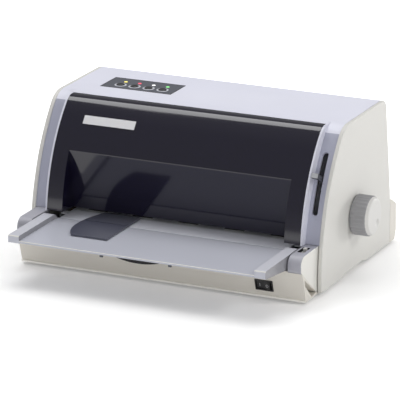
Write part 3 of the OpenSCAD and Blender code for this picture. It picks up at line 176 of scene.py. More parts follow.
# Stretches the grain along X for brushed metal
LONG_X = (0.02, 1, 1)
M = {
    "case_lilac": surface("case_lilac", tint(222, 223, 236), rough=0.5, wear=0.1),
    # Painted shade: the case's lilac darkened for the pillars' front faces, which get less light
    "pillar_lilac_painted_shade": surface("pillar_lilac_painted_shade", tint(168, 170, 187), rough=0.42, wear=0.1),
    "panel_white": surface("panel_white", tint(214, 213, 209), rough=0.5, wear=0.1),
    "base_greige": surface("base_greige", tint(220, 216, 208), rough=0.52, wear=0.1),
    # Painted highlight: a pale flange, lighter where its top catches the light
    "flange_painted_highlight": surface("flange_painted_highlight", tint(250, 248, 242), rough=0.5),
    "block_grey": surface("block_grey", tint(172, 172, 182), rough=0.45, wear=0.1),
    # Painted highlight: a paler tone for the blocks' outer faces and the tray lip's edge, where light falls
    "pale_painted_highlight": surface("pale_painted_highlight", tint(230, 229, 224), rough=0.45),
    "tray_grey": surface("tray_grey", tint(195, 197, 208), rough=0.3, grain=0.0, mottle=0.012),
    # Painted light: a paler copy of the tray's grey for the bed, which lies in the cover's shade
    "bed_grey_painted_light": surface("bed_grey_painted_light", tint(228, 230, 240), rough=0.3, grain=0.0, mottle=0.012),
    # Painted shade and highlight: a darker copy of the rails' grey for their sides, a lighter one for their
    # tops and fronts
    "rail_painted_shade": surface("rail_painted_shade", tint(150, 150, 156), rough=0.4, grain=0.03),
    "rail_painted_highlight": surface("rail_painted_highlight", tint(204, 205, 214), rough=0.35, grain=0.03),
    "cover_smoke": surface("cover_smoke", tint(18, 15, 35), rough=0.1, grain=0.01, grain_mm=2.5,
                           mottle=0.05, level=0.75),
    "guide_slate": surface("guide_slate", tint(72, 74, 90), rough=0.34, grain=0.05, wear=0.1),
    "plate_silver": surface("plate_silver", tint(226, 226, 229), rough=0.4, metal=0.1, brushed=LONG_X),
    "panel_grey": surface("panel_grey", tint(80, 83, 92), rough=0.42),
    # Painted shade: the dark frame stands for the shade in the gap round the control panel's window
    "border_painted_shade": surface("border_painted_shade", tint(66, 68, 76), rough=0.4),
    "ring_grey": surface("ring_grey", tint(196, 198, 206), rough=0.35),
    "button_black": surface("button_black", tint(28, 28, 30), rough=0.3, grain=0.05),
    "knob_grey": surface("knob_grey", tint(215, 214, 212), rough=0.45),
    "knob_grip": surface("knob_grip", tint(150, 150, 153), rough=0.5),
    "lever_grey": surface("lever_grey", tint(70, 71, 78), rough=0.42),
    "lever_light": surface("lever_light", tint(176, 178, 182), rough=0.42),
    "black_plastic": surface("black_plastic", tint(36, 36, 38), rough=0.45),
    "rubber_black": surface("rubber_black", tint(34, 34, 34), rough=0.75, grain=0.3),
    "steel_zinc": surface("steel_zinc", tint(186, 189, 190), rough=0.36, metal=0.9, mottle=0.06),
    "steel_bright": surface("steel_bright", tint(205, 206, 208), rough=0.14, metal=1.0, grain=0.02,
                            brushed=LONG_X),
    "bush_bronze": surface("bush_bronze", tint(140, 120, 86), rough=0.5, metal=0.6, grain=0.25),
    "contact_gold": surface("contact_gold", tint(214, 178, 96), rough=0.25, metal=0.95, grain=0.03),
    "gear_white": surface("gear_white", tint(226, 226, 218), rough=0.4, grain=0.05),
    "motor_dark": surface("motor_dark", tint(92, 94, 98), rough=0.4, metal=0.6),
    "motor_black": surface("motor_black", tint(40, 40, 43), rough=0.45),
    "head_alloy": surface("head_alloy", tint(120, 122, 126), rough=0.45, metal=0.7, grain=0.3,
                          grain_mm=0.6),
    "knob_blue": surface("knob_blue", tint(62, 96, 150), rough=0.4),
    "ribbon_ink": surface("ribbon_ink", tint(24, 24, 28), rough=0.85, grain=0.6, grain_mm=0.3),
    "cable_grey": surface("cable_grey", tint(206, 206, 208), rough=0.5),
    "cable_line": surface("cable_line", tint(150, 152, 158), rough=0.5),
    "board_green": board_surface(),
    "mark_white": surface("mark_white", tint(168, 168, 170), rough=0.5),
    # Painted shade: near black for recesses, the finger grip and the lever's slot, where only shade falls
    "painted_shade_dark": surface("painted_shade_dark", tint(26, 26, 29), rough=0.8),
    "light_yellow": surface("light_yellow", tint(240, 224, 118), rough=0.15, glow=0.9),
    "light_red": surface("light_red", tint(232, 84, 104), rough=0.15, glow=1.0),
    "light_white": surface("light_white", tint(246, 246, 246), rough=0.15, glow=0.9),
    "light_green": surface("light_green", tint(132, 224, 132), rough=0.15, glow=0.9),
}


# ---------- Pieces ----------

# Points nearer than this, in metres, become one, and faces that turn less than this angle become one
WELD = 2e-6
FLAT = math.radians(0.4)


def new_object(name, bm, mats, body, smooth=35):
    """Turns a bmesh into a named piece that rides on a body."""
    bmesh.ops.recalc_face_normals(bm, faces=bm.faces)
    mesh = bpy.data.meshes.new(name)
    bm.to_mesh(mesh)
    bm.free()
    for mat in mats if isinstance(mats, (list, tuple)) else [mats]:
        mesh.materials.append(mat)
    mesh.shade_smooth()
    mesh.set_sharp_from_angle(angle=math.radians(smooth))
    obj = bpy.data.objects.new(name, mesh)
    bpy.context.scene.collection.objects.link(obj)
    if body:
        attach(obj, body)
    return obj


def soften(obj, width, segments=3, angle=30):
    """Rounds a piece's edges by width in millimetres."""
    mod = obj.modifiers.new("soft_edges", "BEVEL")
    mod.width = width * MM
    mod.segments = segments
    mod.limit_method = "ANGLE"
    mod.angle_limit = math.radians(angle)
    mod.harden_normals = True
    mod.use_clamp_overlap = True


def node_bmesh(node):
    """A node's solid as clean faces, without the seams of its triangles."""
    bm = bmesh.new()
    bm.from_mesh(NODES[node].data)
    bmesh.ops.remove_doubles(bm, verts=bm.verts, dist=WELD)
    bmesh.ops.dissolve_limit(bm, angle_limit=FLAT, verts=bm.verts, edges=bm.edges)
    bmesh.ops.recalc_face_normals(bm, faces=bm.faces)
    return bm


def dress(node, bevel=0.4, segments=2, angle=30, paint=None):
    """A finer piece in place of a node, with rounded edges.

    paint holds a list of materials and a function that picks one by a face's middle and normal.
    """
    bm = node_bmesh(node)
    mats = [M[SLOT[node]]]
    if paint:
        mats = [M[m] for m in paint[0]]
        for f in bm.faces:
            f.material_index = paint[1](f.calc_center_median() / MM + SHIFT, f.normal)
    obj = new_object(node + "_shell", bm, mats, BODY[node])
    soften(obj, bevel, segments, angle)
    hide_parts(node)


def ring_mesh(profile, place, turns=64, close=True):
    """A turned form. profile lists (distance, radius), and place maps (distance, u, v) to a point."""
    bm = bmesh.new()
    rings = []
    for d, r in profile:
        angles = [2 * math.pi * i / turns for i in range(turns)]
        rings.append([bm.verts.new(place(d, r * math.cos(a), r * math.sin(a))) for a in angles])
    join_rings(bm, rings)
    if close:
        bm.faces.new(rings[0])
        bm.faces.new(rings[-1])
    return bm


def join_rings(bm, rings):
    """Faces between neighbouring rings of points."""
    turns = len(rings[0])
    for lo, hi in zip(rings, rings[1:]):
        for i in range(turns):
            j = (i + 1) % turns
            bm.faces.new((lo[i], lo[j], hi[j], hi[i]))


def upright(x, y, z):
    """Places a turned form on an upright axis."""
    return lambda d, u, v: at(x + u, y + v, z + d)


def rearward(x, y, z):
    """Places a turned form on an axis that points to the rear."""
    return lambda d, u, v: at(x + u, y + d, z + v)


def box_bmesh(lo, hi, place=at):
    """A box between two corners in millimetres."""
    bm = bmesh.new()
    bmesh.ops.create_cube(bm, size=1)
    for v in bm.verts:
        v.co = place(*[lo[i] + (v.co[i] + 0.5) * (hi[i] - lo[i]) for i in range(3)])
    return bm


def merge(parts):
    """One bmesh out of several."""
    out = bmesh.new()
    for bm in parts:
        mesh = bpy.data.meshes.new("part")
        bm.to_mesh(mesh)
        bm.free()
        out.from_mesh(mesh)
        bpy.data.meshes.remove(mesh)
    return out


def detail(name, parts, mat, body, slot, bevel=0.0):
    """A small piece of several closed forms that the solids leave out."""
    obj = new_object(name, merge(parts), M[mat], body)
    if bevel:
        soften(obj, bevel, 2)


# ---------- Case, base and front blocks ----------

FOOT = reach("base_pan")[0].z
CASE_TOP = reach("upper_case")[1].z
PANEL_IN = reach("right_side_panel")[0].x
BLOCK_TOP = reach("right_front_block")[1].z
LATCH = reach("tray_latch")
LEVER_FRONT = reach("thickness_lever")[0].y
TRAY = reach("paper_tray")
# The tray's hinge pins reach this far past its rails
TRAY_PIN = 6.3
TRAY_HALF = (TRAY[1].x - TRAY[0].x) / 2 - TRAY_PIN
RAIL_W = 14.2
PAPER = reach("paper_bed")[1].z
# Highest point of the finger grip under the tray's lip, and half its width
FINGER_TOP = PAPER - 3.2
FINGER_HALF = 40
# The pillars begin this far from the centre plane, outside the thin rims beside the cover
PILLAR_X = reach("front_cover")[1].x + 1
PILLAR_BACK = 62
FLANGE_TOP = FOOT + 2.3
FLANGE_BACK = -34.5


def paint_pillar_shade(c, n):
    """Painted shade: a darker copy of the case's lilac on the pillars' faces beside the cover, except their
    tops.
    """
    return 1 if abs(c.x) > PILLAR_X and c.y < PILLAR_BACK and n.z < 0.75 else 0


def paint_flange_highlight(c, n):
    """Painted highlight: a lighter flange along the foot of the front wall, whose top catches the light."""
    return 1 if c.z < FLANGE_TOP and c.y < FLANGE_BACK and n.z > -0.5 else 0


def paint_block_highlight(c, n):
    """Painted highlight: a lighter outer face, where the light from the side falls."""
    return 1 if abs(n.x) > 0.9 and abs(c.x) > PANEL_IN - 2 else 0


def paint_right_block_shade_and_highlight(c, n):
    """Painted shade: dark walls in the latch recess; elsewhere as the other block, with the painted
    highlight on the outer face.
    """
    in_x = LATCH[0].x - 0.6 < c.x < LATCH[1].x + 0.6
    in_y = LATCH[0].y - 11 < c.y < LATCH[1].y + 1
    in_z = LATCH[0].z - 1 < c.z < BLOCK_TOP - 0.5
    return 2 if in_x and in_y and in_z else paint_block_highlight(c, n)


def paint_tray_light_and_shade(c, n):
    """Plate; rails in painted shade on their sides and painted highlight on their tops and fronts; a
    painted highlight on the lip's edge; painted shade in the finger grip.
    """
    if c.z < FINGER_TOP and abs(c.x) < FINGER_HALF and c.y < TRAY[0].y + 14:
        return 3
    if n.y < -0.3 and n.z > 0.3 and c.y < TRAY[0].y + 3:
        return 4
    if abs(c.x) > TRAY_HALF - RAIL_W:
        return 2 if n.z > 0.7 or n.y < -0.7 else 1
    return 0


def paint_lever(c, n):
    """A light tip on the dark lever."""
    return 1 if c.y < LEVER_FRONT + 8 else 0


dress("upper_case", 0.7, 3, paint=(["case_lilac", "pillar_lilac_painted_shade"], paint_pillar_shade))
dress("left_side_panel", 1.1, 4)
dress("right_side_panel", 1.1, 4)
dress("base_pan", 0.6, 3, paint=(["base_greige", "flange_painted_highlight"], paint_flange_highlight))
dress("left_front_block", 0.8, 3, paint=(["block_grey", "pale_painted_highlight"], paint_block_highlight))
dress("right_front_block", 0.8, 3, paint=(["block_grey", "pale_painted_highlight", "painted_shade_dark"], paint_right_block_shade_and_highlight))
TRAY_TONES_LIGHT_AND_SHADE = ["tray_grey", "rail_painted_shade", "rail_painted_highlight", "painted_shade_dark", "pale_painted_highlight"]
dress("paper_tray", 0.35, 3, paint=(TRAY_TONES_LIGHT_AND_SHADE, paint_tray_light_and_shade))
# The whole bed in the paler grey, painted light against the cover's shade
dress("paper_bed", 0.3, 2, paint=(["bed_grey_painted_light"], lambda c, n: 0))
dress("front_cover", 0.6, 3)
dress("name_plate", 0.25, 2)
dress("paper_guide", 0.5, 3)
dress("inner_guide", 0.5, 3)
dress("rubber_feet", 0.5, 2)
dress("tray_latch", 0.4, 2)
dress("thickness_lever", 0.5, 3, paint=(["lever_grey", "lever_light"], paint_lever))

STOP_X = 44


def lip_stops():
    """Two small stops under the tray's lip."""
    front = TRAY[0].y
    parts = []
    for x in (-STOP_X, STOP_X):
        parts.append(box_bmesh((x - 2, front + 0.8, PAPER - 5.6), (x + 2, front + 3, PAPER - 2.2)))
    detail("lip_stops", parts, "panel_grey", BODY["paper_tray"], "tray_grey", 0.3)


lip_stops()

LEVER_X = PANEL_IN - 10
# Radius and centre of the pillars' front curve, in the YZ plane
PILLAR_R = 239
PILLAR_MID = (238.3, 22)
# Heights of the lever's slot, and the depth of the strips of painted shade behind the pillar's front
SLOT_HEIGHTS = range(90, 167, 4)
SHADE_STRIP_BACK = 3.5


def slot_shade_strips():
    """Painted shade: two dark strips behind the right pillar's front, either side of the lever's slot,
    where the slot is in shade.
    """
    bands = []
    for x0, x1 in ((LEVER_X - 7, LEVER_X - 2.6), (LEVER_X + 2.6, LEVER_X + 6.6)):
        bm = bmesh.new()
        rings = []
        for z in SLOT_HEIGHTS:
            y = PILLAR_MID[0] - math.sqrt(PILLAR_R ** 2 - (z - PILLAR_MID[1]) ** 2) + SHADE_STRIP_BACK
            corners = ((x0, y), (x1, y), (x1, y + 1), (x0, y + 1))
            rings.append([bm.verts.new(at(x, q, z)) for x, q in corners])
        join_rings(bm, rings)
        bm.faces.new(rings[0])
        bm.faces.new(rings[-1])
        bands.append(bm)
    detail("lever_slot_painted_shade", bands, "painted_shade_dark", "chassis", "black_plastic")


slot_shade_strips()

# ---------- Control panel ----------

dress("control_panel", 0.4, 3)
PANEL = reach("control_panel")
# Distance of the dark frame of painted shade from the panel's edge, its width, its height and its foot
BORDER_IN = 3.4
BORDER_W = 1.3
BORDER_H = 0.12
BORDER_FOOT = -0.3


def panel_shade_frame():
    """Painted shade: a thin dark frame round the control panel, for the shade in the gap round its window.
    """
    bm = bmesh.new()
    loops = []
    outer, inner = BORDER_IN, BORDER_IN + BORDER_W
    for inset, z in ((outer, BORDER_FOOT), (outer, BORDER_H), (inner, BORDER_H), (inner, BORDER_FOOT)):
        x0, y0 = PANEL[0].x + inset, PANEL[0].y + inset
        x1, y1 = PANEL[1].x - inset, PANEL[1].y - inset
        corners = ((x0, y0), (x1, y0), (x1, y1), (x0, y1))
        loops.append([bm.verts.new(at(x, y, CASE_TOP + z)) for x, y in corners])
    join_rings(bm, loops + loops[:1])
    obj = new_object("panel_shade_frame", bm, M["border_painted_shade"], "chassis")


panel_shade_frame()

# Turned forms as (height over the case's top, radius)
CAP = [(-5.6, 3.5), (-5.6, 5), (0.5, 5), (0.95, 4.85), (1.2, 4.4), (1.15, 3.6), (0.85, 2), (0.75, 0.6)]
RING = [(-1, 5.3), (0.12, 5.3), (0.3, 5.5), (0.3, 7.1), (0.12, 7.5), (-1, 7.5), (-1, 5.3)]
LENS = [(-10.4, 2.2), (0, 2.2), (0.28, 1.9), (0.4, 0.9)]
HUES = ["light_yellow", "light_red", "light_white", "light_green"]
LIGHT_Y = (reach("status_lights")[0].y + reach("status_lights")[1].y) / 2
for i, hue in enumerate(HUES):
    node = f"button_{i + 1}"
    lo, hi = reach(node)
    x, y = (lo.x + hi.x) / 2, (lo.y + hi.y) / 2
    middle = upright(x, y, CASE_TOP)
    cap = new_object(node + "_cap", ring_mesh(CAP, middle), M["button_black"], BODY[node])
    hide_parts(node)
    ring = ring_mesh(RING, middle, close=False)
    ring = new_object(f"button_ring_{i + 1}", ring, M["ring_grey"], "chassis")
    lens = ring_mesh(LENS, upright(x, LIGHT_Y, CASE_TOP), turns=32)
    lens = new_object(f"status_lens_{i + 1}", lens, M[hue], "chassis")
    if i == 0:
        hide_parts("status_lights")

# ---------- Knob ----------

KNOB = reach("platen_knob")
RIBS = 30
KNOB_TURNS = 240
# Rings as (distance outwards, how far below the full radius, depth of the ribs there)
GRIP = [(0, 2.5, 0), (0, 0.9, 0.2), (0.5, 0.2, 0.6), (1.2, 0, 0.9), (17.6, 0, 0.9), (18.6, 0.3, 0.7)]
RIM = [(19.6, 1.1, 0.4), (20.6, 1.9, 0.1), (21.6, 2.3, 0), (22.4, 2.9, 0), (22.9, 3.8, 0), (23.1, 5, 0)]
# The face rises a little from the rim's last ring to the middle
FACE_OUT = 23.1
FACE_IN = 5
FACE_RISE = 0.1
FACE_STEPS = 16
FACE_HUB = 0.6
# Place, radius and depth of the dimple in the face, and the distance outwards where it begins
DIMPLE_AT = (8.6, -10.2)
DIMPLE_R = 5.2
DIMPLE_D = 1.9
DIMPLE_FROM = 22.5


def knob_bmesh():
    """The ribbed grip with its shallow face and the dimple for a fingertip."""
    radius = (KNOB[1].z - KNOB[0].z) / 2
    y, z = (KNOB[0].y + KNOB[1].y) / 2, (KNOB[0].z + KNOB[1].z) / 2
    bm = bmesh.new()

    def ring(d, full, depth):
        out = []
        for i in range(KNOB_TURNS):
            a = 2 * math.pi * i / KNOB_TURNS
            r = full - depth * (0.5 + 0.5 * math.cos(RIBS * a)) ** 0.7
            u, v = r * math.cos(a), r * math.sin(a)
            off = math.hypot(u - DIMPLE_AT[0], v - DIMPLE_AT[1])
            dip = DIMPLE_D * max(0.0, 1 - (off / DIMPLE_R) ** 2) ** 0.9 if d > DIMPLE_FROM else 0
            out.append(bm.verts.new(at(KNOB[0].x + d - dip, y + u, z + v)))
        return out

    grip = [ring(d, radius - below, depth) for d, below, depth in GRIP]
    face = [ring(d, radius - below, depth) for d, below, depth in RIM]
    for i in range(1, FACE_STEPS + 1):
        inward = i / FACE_STEPS
        face.append(ring(FACE_OUT + FACE_RISE * inward, (radius - FACE_IN) * (1 - inward) + FACE_HUB, 0))
    join_rings(bm, grip + face[:1])
    grip_faces = len(bm.faces)
    join_rings(bm, face)
    bm.faces.new(grip[0])
    bm.faces.new(face[-1])
    for i, f in enumerate(bm.faces):
        f.material_index = 0 if i < grip_faces else 1
    return bm


KNOB_TONES = [M["knob_grip"], M["knob_grey"]]
knob = new_object("knob_grip", knob_bmesh(), KNOB_TONES, BODY["platen_knob"], smooth=50)
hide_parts("platen_knob")

# ---------- Power switch ----------

dress("power_switch", 0.3, 2)
dress("switch_rocker", 0.5, 3)
# Lean of the front wall, tilt of the rocker at rest and depth of its pivot
LEAN = math.radians(17.1)
TILT = math.radians(-8)
PIVOT = 3.6
SWITCH_Z = 19
SWITCH_X = (reach("power_switch")[0].x + reach("power_switch")[1].x) / 2
# The front wall's foot, and how far it leans out over its height
WALL_FOOT = -36
WALL_OUT = 12
WALL_H = 39
SWITCH_Y = WALL_FOOT - WALL_OUT * (SWITCH_Z - FOOT) / WALL_H


def on_rocker(x, y, z):
    """A place on the tilted rocker, with X across it and -Y out of it."""
    p = Matrix.Rotation(TILT, 3, "Z") @ Vector((x, y, z)) + Vector((0, PIVOT, 0))
    p = Matrix.Rotation(LEAN, 3, "X") @ p
    return at(SWITCH_X + p.x, SWITCH_Y + p.y, SWITCH_Z + p.z)


def switch_marks():
    """The line and the circle on the two halves of the rocker."""
    slope = 1.0 / 8.8
    middle, radius, line, depth = 4.9, 2, 0.7, -0.25
    bar = box_bmesh((-5.3, -PIVOT - 1.16, -2), (-4.5, -PIVOT - 0.85, 2), on_rocker)

    def place(d, u, v):
        x = middle + u
        return on_rocker(x, -PIVOT - 0.45 - slope * x + d, v)

    inner = radius - line
    profile = [(0, radius), (0, inner), (depth, inner), (depth, radius), (0, radius)]
    ring = ring_mesh(profile, place, 40, close=False)
    detail("switch_marks", [bar, ring], "mark_white", BODY["switch_rocker"], "button_black")


switch_marks()

# ---------- Mechanism ----------

for node in ("left_frame", "right_frame", "cross_members", "belt_bracket", "rear_rail", "case_screws"):
    dress(node, 0.25, 2)
for node in ("platen", "front_feed_rollers", "rear_feed_rollers", "front_pinch_roller", "rear_pinch_roller",
             "front_feed_shaft", "rear_feed_shaft", "guide_shaft", "knob_shaft", "shaft_bushes"):
    dress(node, 0.35, 2)
for node in ("drive_pulley", "idler_pulley", "drive_belt", "ribbon_knob"):
    dress(node, 0.2, 2)
for node in ("front_feed_gear", "rear_feed_gear", "idler_gear", "knob_gear", "motor_pinion"):
    dress(node, 0.12, 1, angle=40)
dress("carriage", 0.6, 3)
dress("ribbon_cartridge", 0.7, 3)

MOTOR_TONES = ["motor_dark", "motor_black"]
FEED_CAP = reach("feed_motor")[0].x + 0.5
CARRIAGE_CAP = reach("carriage_motor")[1].z - 3.5
dress("feed_motor", 0.5, 2, paint=(MOTOR_TONES, lambda c, n: 1 if c.x < FEED_CAP else 0))
dress("carriage_motor", 0.5, 2, paint=(MOTOR_TONES, lambda c, n: 1 if c.z > CARRIAGE_CAP else 0))
HEAD = reach("print_head")
# Height of the nose's upper end, and the nose's place along Y
NOSE_TOP = 72
NOSE_Y = 80
HEAD_TONES = ["head_alloy", "motor_black"]
dress("print_head", 0.3, 2, paint=(HEAD_TONES, lambda c, n: 1 if c.z < NOSE_TOP else 0))


def cartridge_details():
    """Lid plates, snap tabs and finger ribs of the ribbon cartridge."""
    lo, hi = reach("ribbon_cartridge")
    back = lo.y + 33
    parts = [box_bmesh((lo.x + 5, lo.y + 4, hi.z - 0.3), (hi.x - 92, back - 4, hi.z + 0.7))]
    parts.append(box_bmesh((hi.x - 34, lo.y + 4, hi.z - 0.3), (hi.x - 5, back - 4, hi.z + 0.7)))
    for i in range(7):
        x = lo.x + 12 + 3.2 * i
        parts.append(box_bmesh((x, lo.y + 8, hi.z + 0.3), (x + 1.4, back - 8, hi.z + 1.5)))
    for x in range(-130, 70, 40):
        parts.append(box_bmesh((x, lo.y - 0.7, hi.z - 9), (x + 8, lo.y + 0.3, hi.z - 4)))
    detail("cartridge_lid", parts, "black_plastic", BODY["ribbon_cartridge"], "black_plastic", 0.25)


cartridge_details()


def head_nose():
    """Steel insert at the nose of the head, and the plug on top of the head."""
    lo, hi = HEAD
    nose = box_bmesh((-2.2, NOSE_Y - 2.6, lo.z - 0.25), (2.2, NOSE_Y + 2.6, lo.z + 1))
    detail("head_insert", [nose], "steel_bright", BODY["print_head"], "steel_bright", 0.3)
    plug = box_bmesh((-14, hi.y - 7.5, hi.z - 4), (14, hi.y - 1.5, hi.z + 3))
    detail("head_plug", [plug], "gear_white", BODY["print_head"], "gear_white", 0.4)


head_nose()

CABLE = reach("head_cable")
# Columns across the cable, by turns a conductor and the line between two, and the cable's thickness
CABLE_COLUMNS = 24
CABLE_T = 0.4
# Undersides of the lower and the upper run, and the place of the half loop between them
CABLE_LOW = 88.4
CABLE_HIGH = 104.5
CABLE_TURN = 70


def cable_path(low, high):
    """Middle line in the XZ plane, from the board's socket to the carriage."""
    mid = (low + high + CABLE_T) / 2
    loop_r = (high - low) / 2
    drop_x, foot_z = CABLE[0].x + CABLE_T / 2, CABLE[0].z
    bend = 2
    path = [(drop_x, foot_z + (low - foot_z - bend) * i / 6) for i in range(7)]
    for a in (0.4, 0.8, 1.2, math.pi / 2):
        path.append((drop_x + bend - bend * math.cos(a), low - 1.8 + bend * math.sin(a)))
    start = drop_x + 2 * bend
    path += [(start + (CABLE_TURN - start) * i / 20, low + CABLE_T / 2) for i in range(21)]
    for i in range(1, 17):
        a = -math.pi / 2 + math.pi * i / 16
        path.append((CABLE_TURN + loop_r * math.cos(a), mid + loop_r * math.sin(a)))
    path += [(CABLE_TURN * (1 - i / 10), high + CABLE_T / 2) for i in range(1, 11)]
    return path


def cable_piece(low, high):
    """Flat cable from the board's socket along the shelf, over in a half loop and back to the carriage."""
    y0, y1 = CABLE[0].y, CABLE[1].y
    columns = [y0 + (y1 - y0) * k / CABLE_COLUMNS for k in range(CABLE_COLUMNS + 1)]
    path = cable_path(low, high)
    bm = bmesh.new()
    rings = []
    for i, (x, z) in enumerate(path):
        x0, z0 = path[max(0, i - 1)]
        x1, z1 = path[min(len(path) - 1, i + 1)]
        along = Vector((x1 - x0, z1 - z0)).normalized()
        side = Vector((-along.y, along.x)) * (CABLE_T / 2 - 0.02)
        ring = [bm.verts.new(at(x + side.x, y, z + side.y)) for y in columns]
        ring += [bm.verts.new(at(x - side.x, y, z - side.y)) for y in reversed(columns)]
        rings.append(ring)
    join_rings(bm, rings)
    for f in bm.faces:
        across = (f.calc_center_median().y / MM + SHIFT.y - y0) / (y1 - y0)
        f.material_index = int(across * CABLE_COLUMNS) % 2
    bm.faces.new(rings[0])
    bm.faces.new(rings[-1])
    obj = new_object("head_cable_strip", bm, [M["cable_grey"], M["cable_line"]], None, smooth=40)
    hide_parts("head_cable")
    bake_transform(obj)


cable_piece(CABLE_LOW, CABLE_HIGH)

# ---------- Electronics ----------

BOARD_T = 1.6
BOARD_TOP = reach("main_board")[0].z + BOARD_T
PANEL_BOARD_TOP = reach("panel_board")[0].z + BOARD_T
# The capacitors stand on this part of the main board
CAN_X = (0, 32)
CAN_BACK = 196
# Chips as (X, Y, width, depth), and the distance of their legs
CHIPS = [(-110, 180, 28, 28), (-60, 178, 18, 12), (-60, 196, 18, 12), (-20, 186, 12, 24)]
LEG_STEP = 2.5


def paint_main_board(c, n):
    """Green board, black chips and sockets, and capacitors with bare tops."""
    if c.z < BOARD_TOP + 0.05:
        return 0
    on_can = CAN_X[0] < c.x < CAN_X[1] and c.y < CAN_BACK
    return 2 if on_can and n.z > 0.9 else 1


def paint_panel_board(c, n):
    """Green board with black parts on it."""
    return 1 if c.z > PANEL_BOARD_TOP + 0.05 else 0


dress("main_board", 0.2, 2, paint=(["board_green", "black_plastic", "steel_zinc"], paint_main_board))
dress("panel_board", 0.15, 1, paint=(["board_green", "black_plastic"], paint_panel_board))
dress("power_supply", 0.5, 2)


def chip_legs():
    """Rows of bright legs beside the chips of the main board."""
    parts = []
    for x, y, w, d in CHIPS:
        for i in range(int(w / LEG_STEP)):
            left = x + 1.2 + LEG_STEP * i
            for y0, y1 in ((y - 1.4, y + 0.2), (y + d - 0.2, y + d + 1.4)):
                parts.append(box_bmesh((left, y0, BOARD_TOP - 0.1), (left + 0.9, y1, BOARD_TOP + 0.7)))
    detail("chip_legs", parts, "steel_bright", "chassis", "steel_bright")


chip_legs()

dress("rear_sockets", 0.3, 2)
BACK = reach("rear_sockets")[1].y
# Middles of the wide port, the square port and the mains inlet in the XZ plane
PORT = (-95, 23)
SQUARE = (-35, 22)
INLET = (112, 24)
# Six-sided posts beside the wide port, turned on an axis that points to the rear
POST = [(-1.5, 3), (0.3, 3), (0.5, 2.8), (0.5, 1.3), (-1, 1.3)]
POST_X = 33.5


def contact_row(socket, first, step, width, count):
    """A row of thin contacts in a socket's upper half."""
    parts = []
    for i in range(count):
        x = socket[0] + first + step * i
        lo = (x, BACK - 10.5, socket[1] + 1.3)
        hi = (x + width, BACK - 3.6, socket[1] + 1.75)
        parts.append(box_bmesh(lo, hi))
    return parts


def socket_details():
    """Contacts in the sockets, pins in the inlet and the posts beside the wide port."""
    contacts = contact_row(PORT, -13, 1.9, 0.9, 14) + contact_row(SQUARE, -2.4, 3.6, 1.2, 2)
    detail("socket_contacts", contacts, "contact_gold", "chassis", "bush_bronze")
    pins = []
    for dx, dz in ((-7, -3.4), (7, -3.4), (0, 4.2)):
        x, z = INLET[0] + dx, INLET[1] + dz
        pins.append(box_bmesh((x - 1, BACK - 10, z - 2), (x + 1, BACK - 2, z + 2)))
    detail("inlet_pins", pins, "steel_bright", "chassis", "steel_bright", 0.3)
    posts = [ring_mesh(POST, rearward(PORT[0] + x, BACK, PORT[1]), 6) for x in (-POST_X, POST_X)]
    detail("port_posts", posts, "steel_zinc", "chassis", "steel_zinc")


socket_details()

# Every other node keeps its solid and gets its own finish
for node, obj in NODES.items():
    if obj.hide_render:
        continue
    obj.data.materials.clear()
    obj.data.materials.append(M[SLOT[node]])

# ---------- Floor, light and camera ----------

FLOOR_SIZE = 9
# The floor's own brightness rises between these distances from the middle, in metres
LIFT_FROM, LIFT_TO = 0.22, 0.6
LIFT_NEAR, LIFT_FAR = 0.2, 0.6


def floor_material():
    """Pale floor that turns white away from the object and keeps its shadow."""
    mat = bpy.data.materials.new("floor_white")
    mat.use_nodes = True
    nt = mat.node_tree
    bsdf = nt.nodes["Principled BSDF"]
    bsdf.inputs["Base Color"].default_value = (0.92, 0.92, 0.92, 1)
    bsdf.inputs["Roughness"].default_value = 0.9
    bsdf.inputs["Specular IOR Level"].default_value = 0.1
    path = nt.nodes.new("ShaderNodeLightPath")
    seen = path.outputs["Is Camera Ray"]
    for name in ("Is Glossy Ray", "Is Transmission Ray"):
        most = nt.nodes.new("ShaderNodeMath")
        most.operation = "MAXIMUM"
        nt.links.new(seen, most.inputs[0])
        nt.links.new(path.outputs[name], most.inputs[1])
        seen = most.outputs["Value"]
    far = nt.nodes.new("ShaderNodeVectorMath")
    far.operation = "LENGTH"
    nt.links.new(nt.nodes.new("ShaderNodeTexCoord").outputs["Object"], far.inputs[0])
    lift = map_range(nt, far.outputs["Value"], LIFT_FROM, LIFT_TO, LIFT_NEAR, LIFT_FAR)
    gain = nt.nodes.new("ShaderNodeMath")
    gain.operation = "MULTIPLY"
    nt.links.new(seen, gain.inputs[0])
    nt.links.new(lift, gain.inputs[1])
    bsdf.inputs["Emission Color"].default_value = (1, 1, 1, 1)
    nt.links.new(gain.outputs["Value"], bsdf.inputs["Emission Strength"])
    return mat


bm = bmesh.new()
bmesh.ops.create_grid(bm, x_segments=1, y_segments=1, size=FLOOR_SIZE)
mesh = bpy.data.meshes.new("floor")
bm.to_mesh(mesh)
bm.free()
mesh.materials.append(floor_material())
floor = bpy.data.objects.new("floor", mesh)
bpy.context.scene.collection.objects.link(floor)

# Brightness of the room by the height of the direction: level, a little up, halfway up and overhead
SKY = [(0.0, 0.42), (0.08, 0.4), (0.25, 0.32), (0.8, 0.3), (1.0, 0.5)]


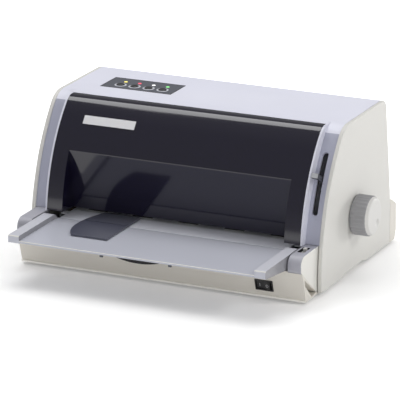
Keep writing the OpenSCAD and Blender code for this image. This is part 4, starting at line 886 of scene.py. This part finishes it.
def room():
    """A plain studio, a little brighter overhead and near the ground."""
    world = bpy.data.worlds.new("studio")
    world.use_nodes = True
    bpy.context.scene.world = world
    nt = world.node_tree
    axes = nt.nodes.new("ShaderNodeSeparateXYZ")
    nt.links.new(nt.nodes.new("ShaderNodeTexCoord").outputs["Generated"], axes.inputs["Vector"])
    ramp = nt.nodes.new("ShaderNodeValToRGB")
    nt.links.new(axes.outputs["Z"], ramp.inputs["Fac"])
    stops = ramp.color_ramp.elements
    for i, (place, level) in enumerate(SKY):
        stop = stops[i] if i < 2 else stops.new(place)
        stop.position = place
        stop.color = (level, level, level * 1.01, 1)
    nt.links.new(ramp.outputs["Color"], nt.nodes["Background"].inputs["Color"])


room()


def lamp(name, place, target, size, watts, colour=(1, 1, 1)):
    """A soft rectangular studio lamp that points at a target."""
    data = bpy.data.lights.new(name, "AREA")
    data.shape = "RECTANGLE"
    data.size, data.size_y = size
    data.energy = watts
    data.color = colour
    obj = bpy.data.objects.new(name, data)
    obj.location = place
    obj.rotation_euler = (Vector(target) - Vector(place)).to_track_quat("-Z", "Y").to_euler()
    bpy.context.scene.collection.objects.link(obj)


MIDDLE = (0, 0, 0.1)
lamp("overhead", (-0.4, 0.5, 1.9), MIDDLE, (2.2, 1.0), 25.5)
lamp("right_high", (1.7, 0.05, 1.2), MIDDLE, (0.4, 0.4), 7.5, (1.0, 0.99, 0.97))
lamp("right_rear", (1.35, 1.95, 0.14), MIDDLE, (0.4, 0.2), 12, (1.0, 0.99, 0.97))
lamp("low_front", (0.6, -1.9, 0.2), MIDDLE, (1.6, 0.3), 8, (1.0, 0.99, 0.96))

# Focal length in pixels of a picture 400 pixels wide, place of the camera and direction to it
FOCAL = 3526.4
PICTURE = 400
SENSOR = 36
CAMERA_AT = (1.6686, -3.6609, 1.3394)
AWAY = (0.39714, -0.86756, 0.29938)
camera_data = bpy.data.cameras.new("camera")
camera_data.sensor_width = SENSOR
camera_data.lens = SENSOR * FOCAL / PICTURE
camera_data.clip_end = 60
camera = bpy.data.objects.new("camera", camera_data)
bpy.context.scene.collection.objects.link(camera)
away = Vector(AWAY).normalized()
right = Vector((0, 0, 1)).cross(away).normalized()
up = away.cross(right)
turned = Matrix((right, up, away)).transposed().to_4x4()
camera.matrix_world = Matrix.Translation(CAMERA_AT) @ turned
bpy.context.scene.camera = camera
bpy.context.scene.view_settings.view_transform = "Standard"
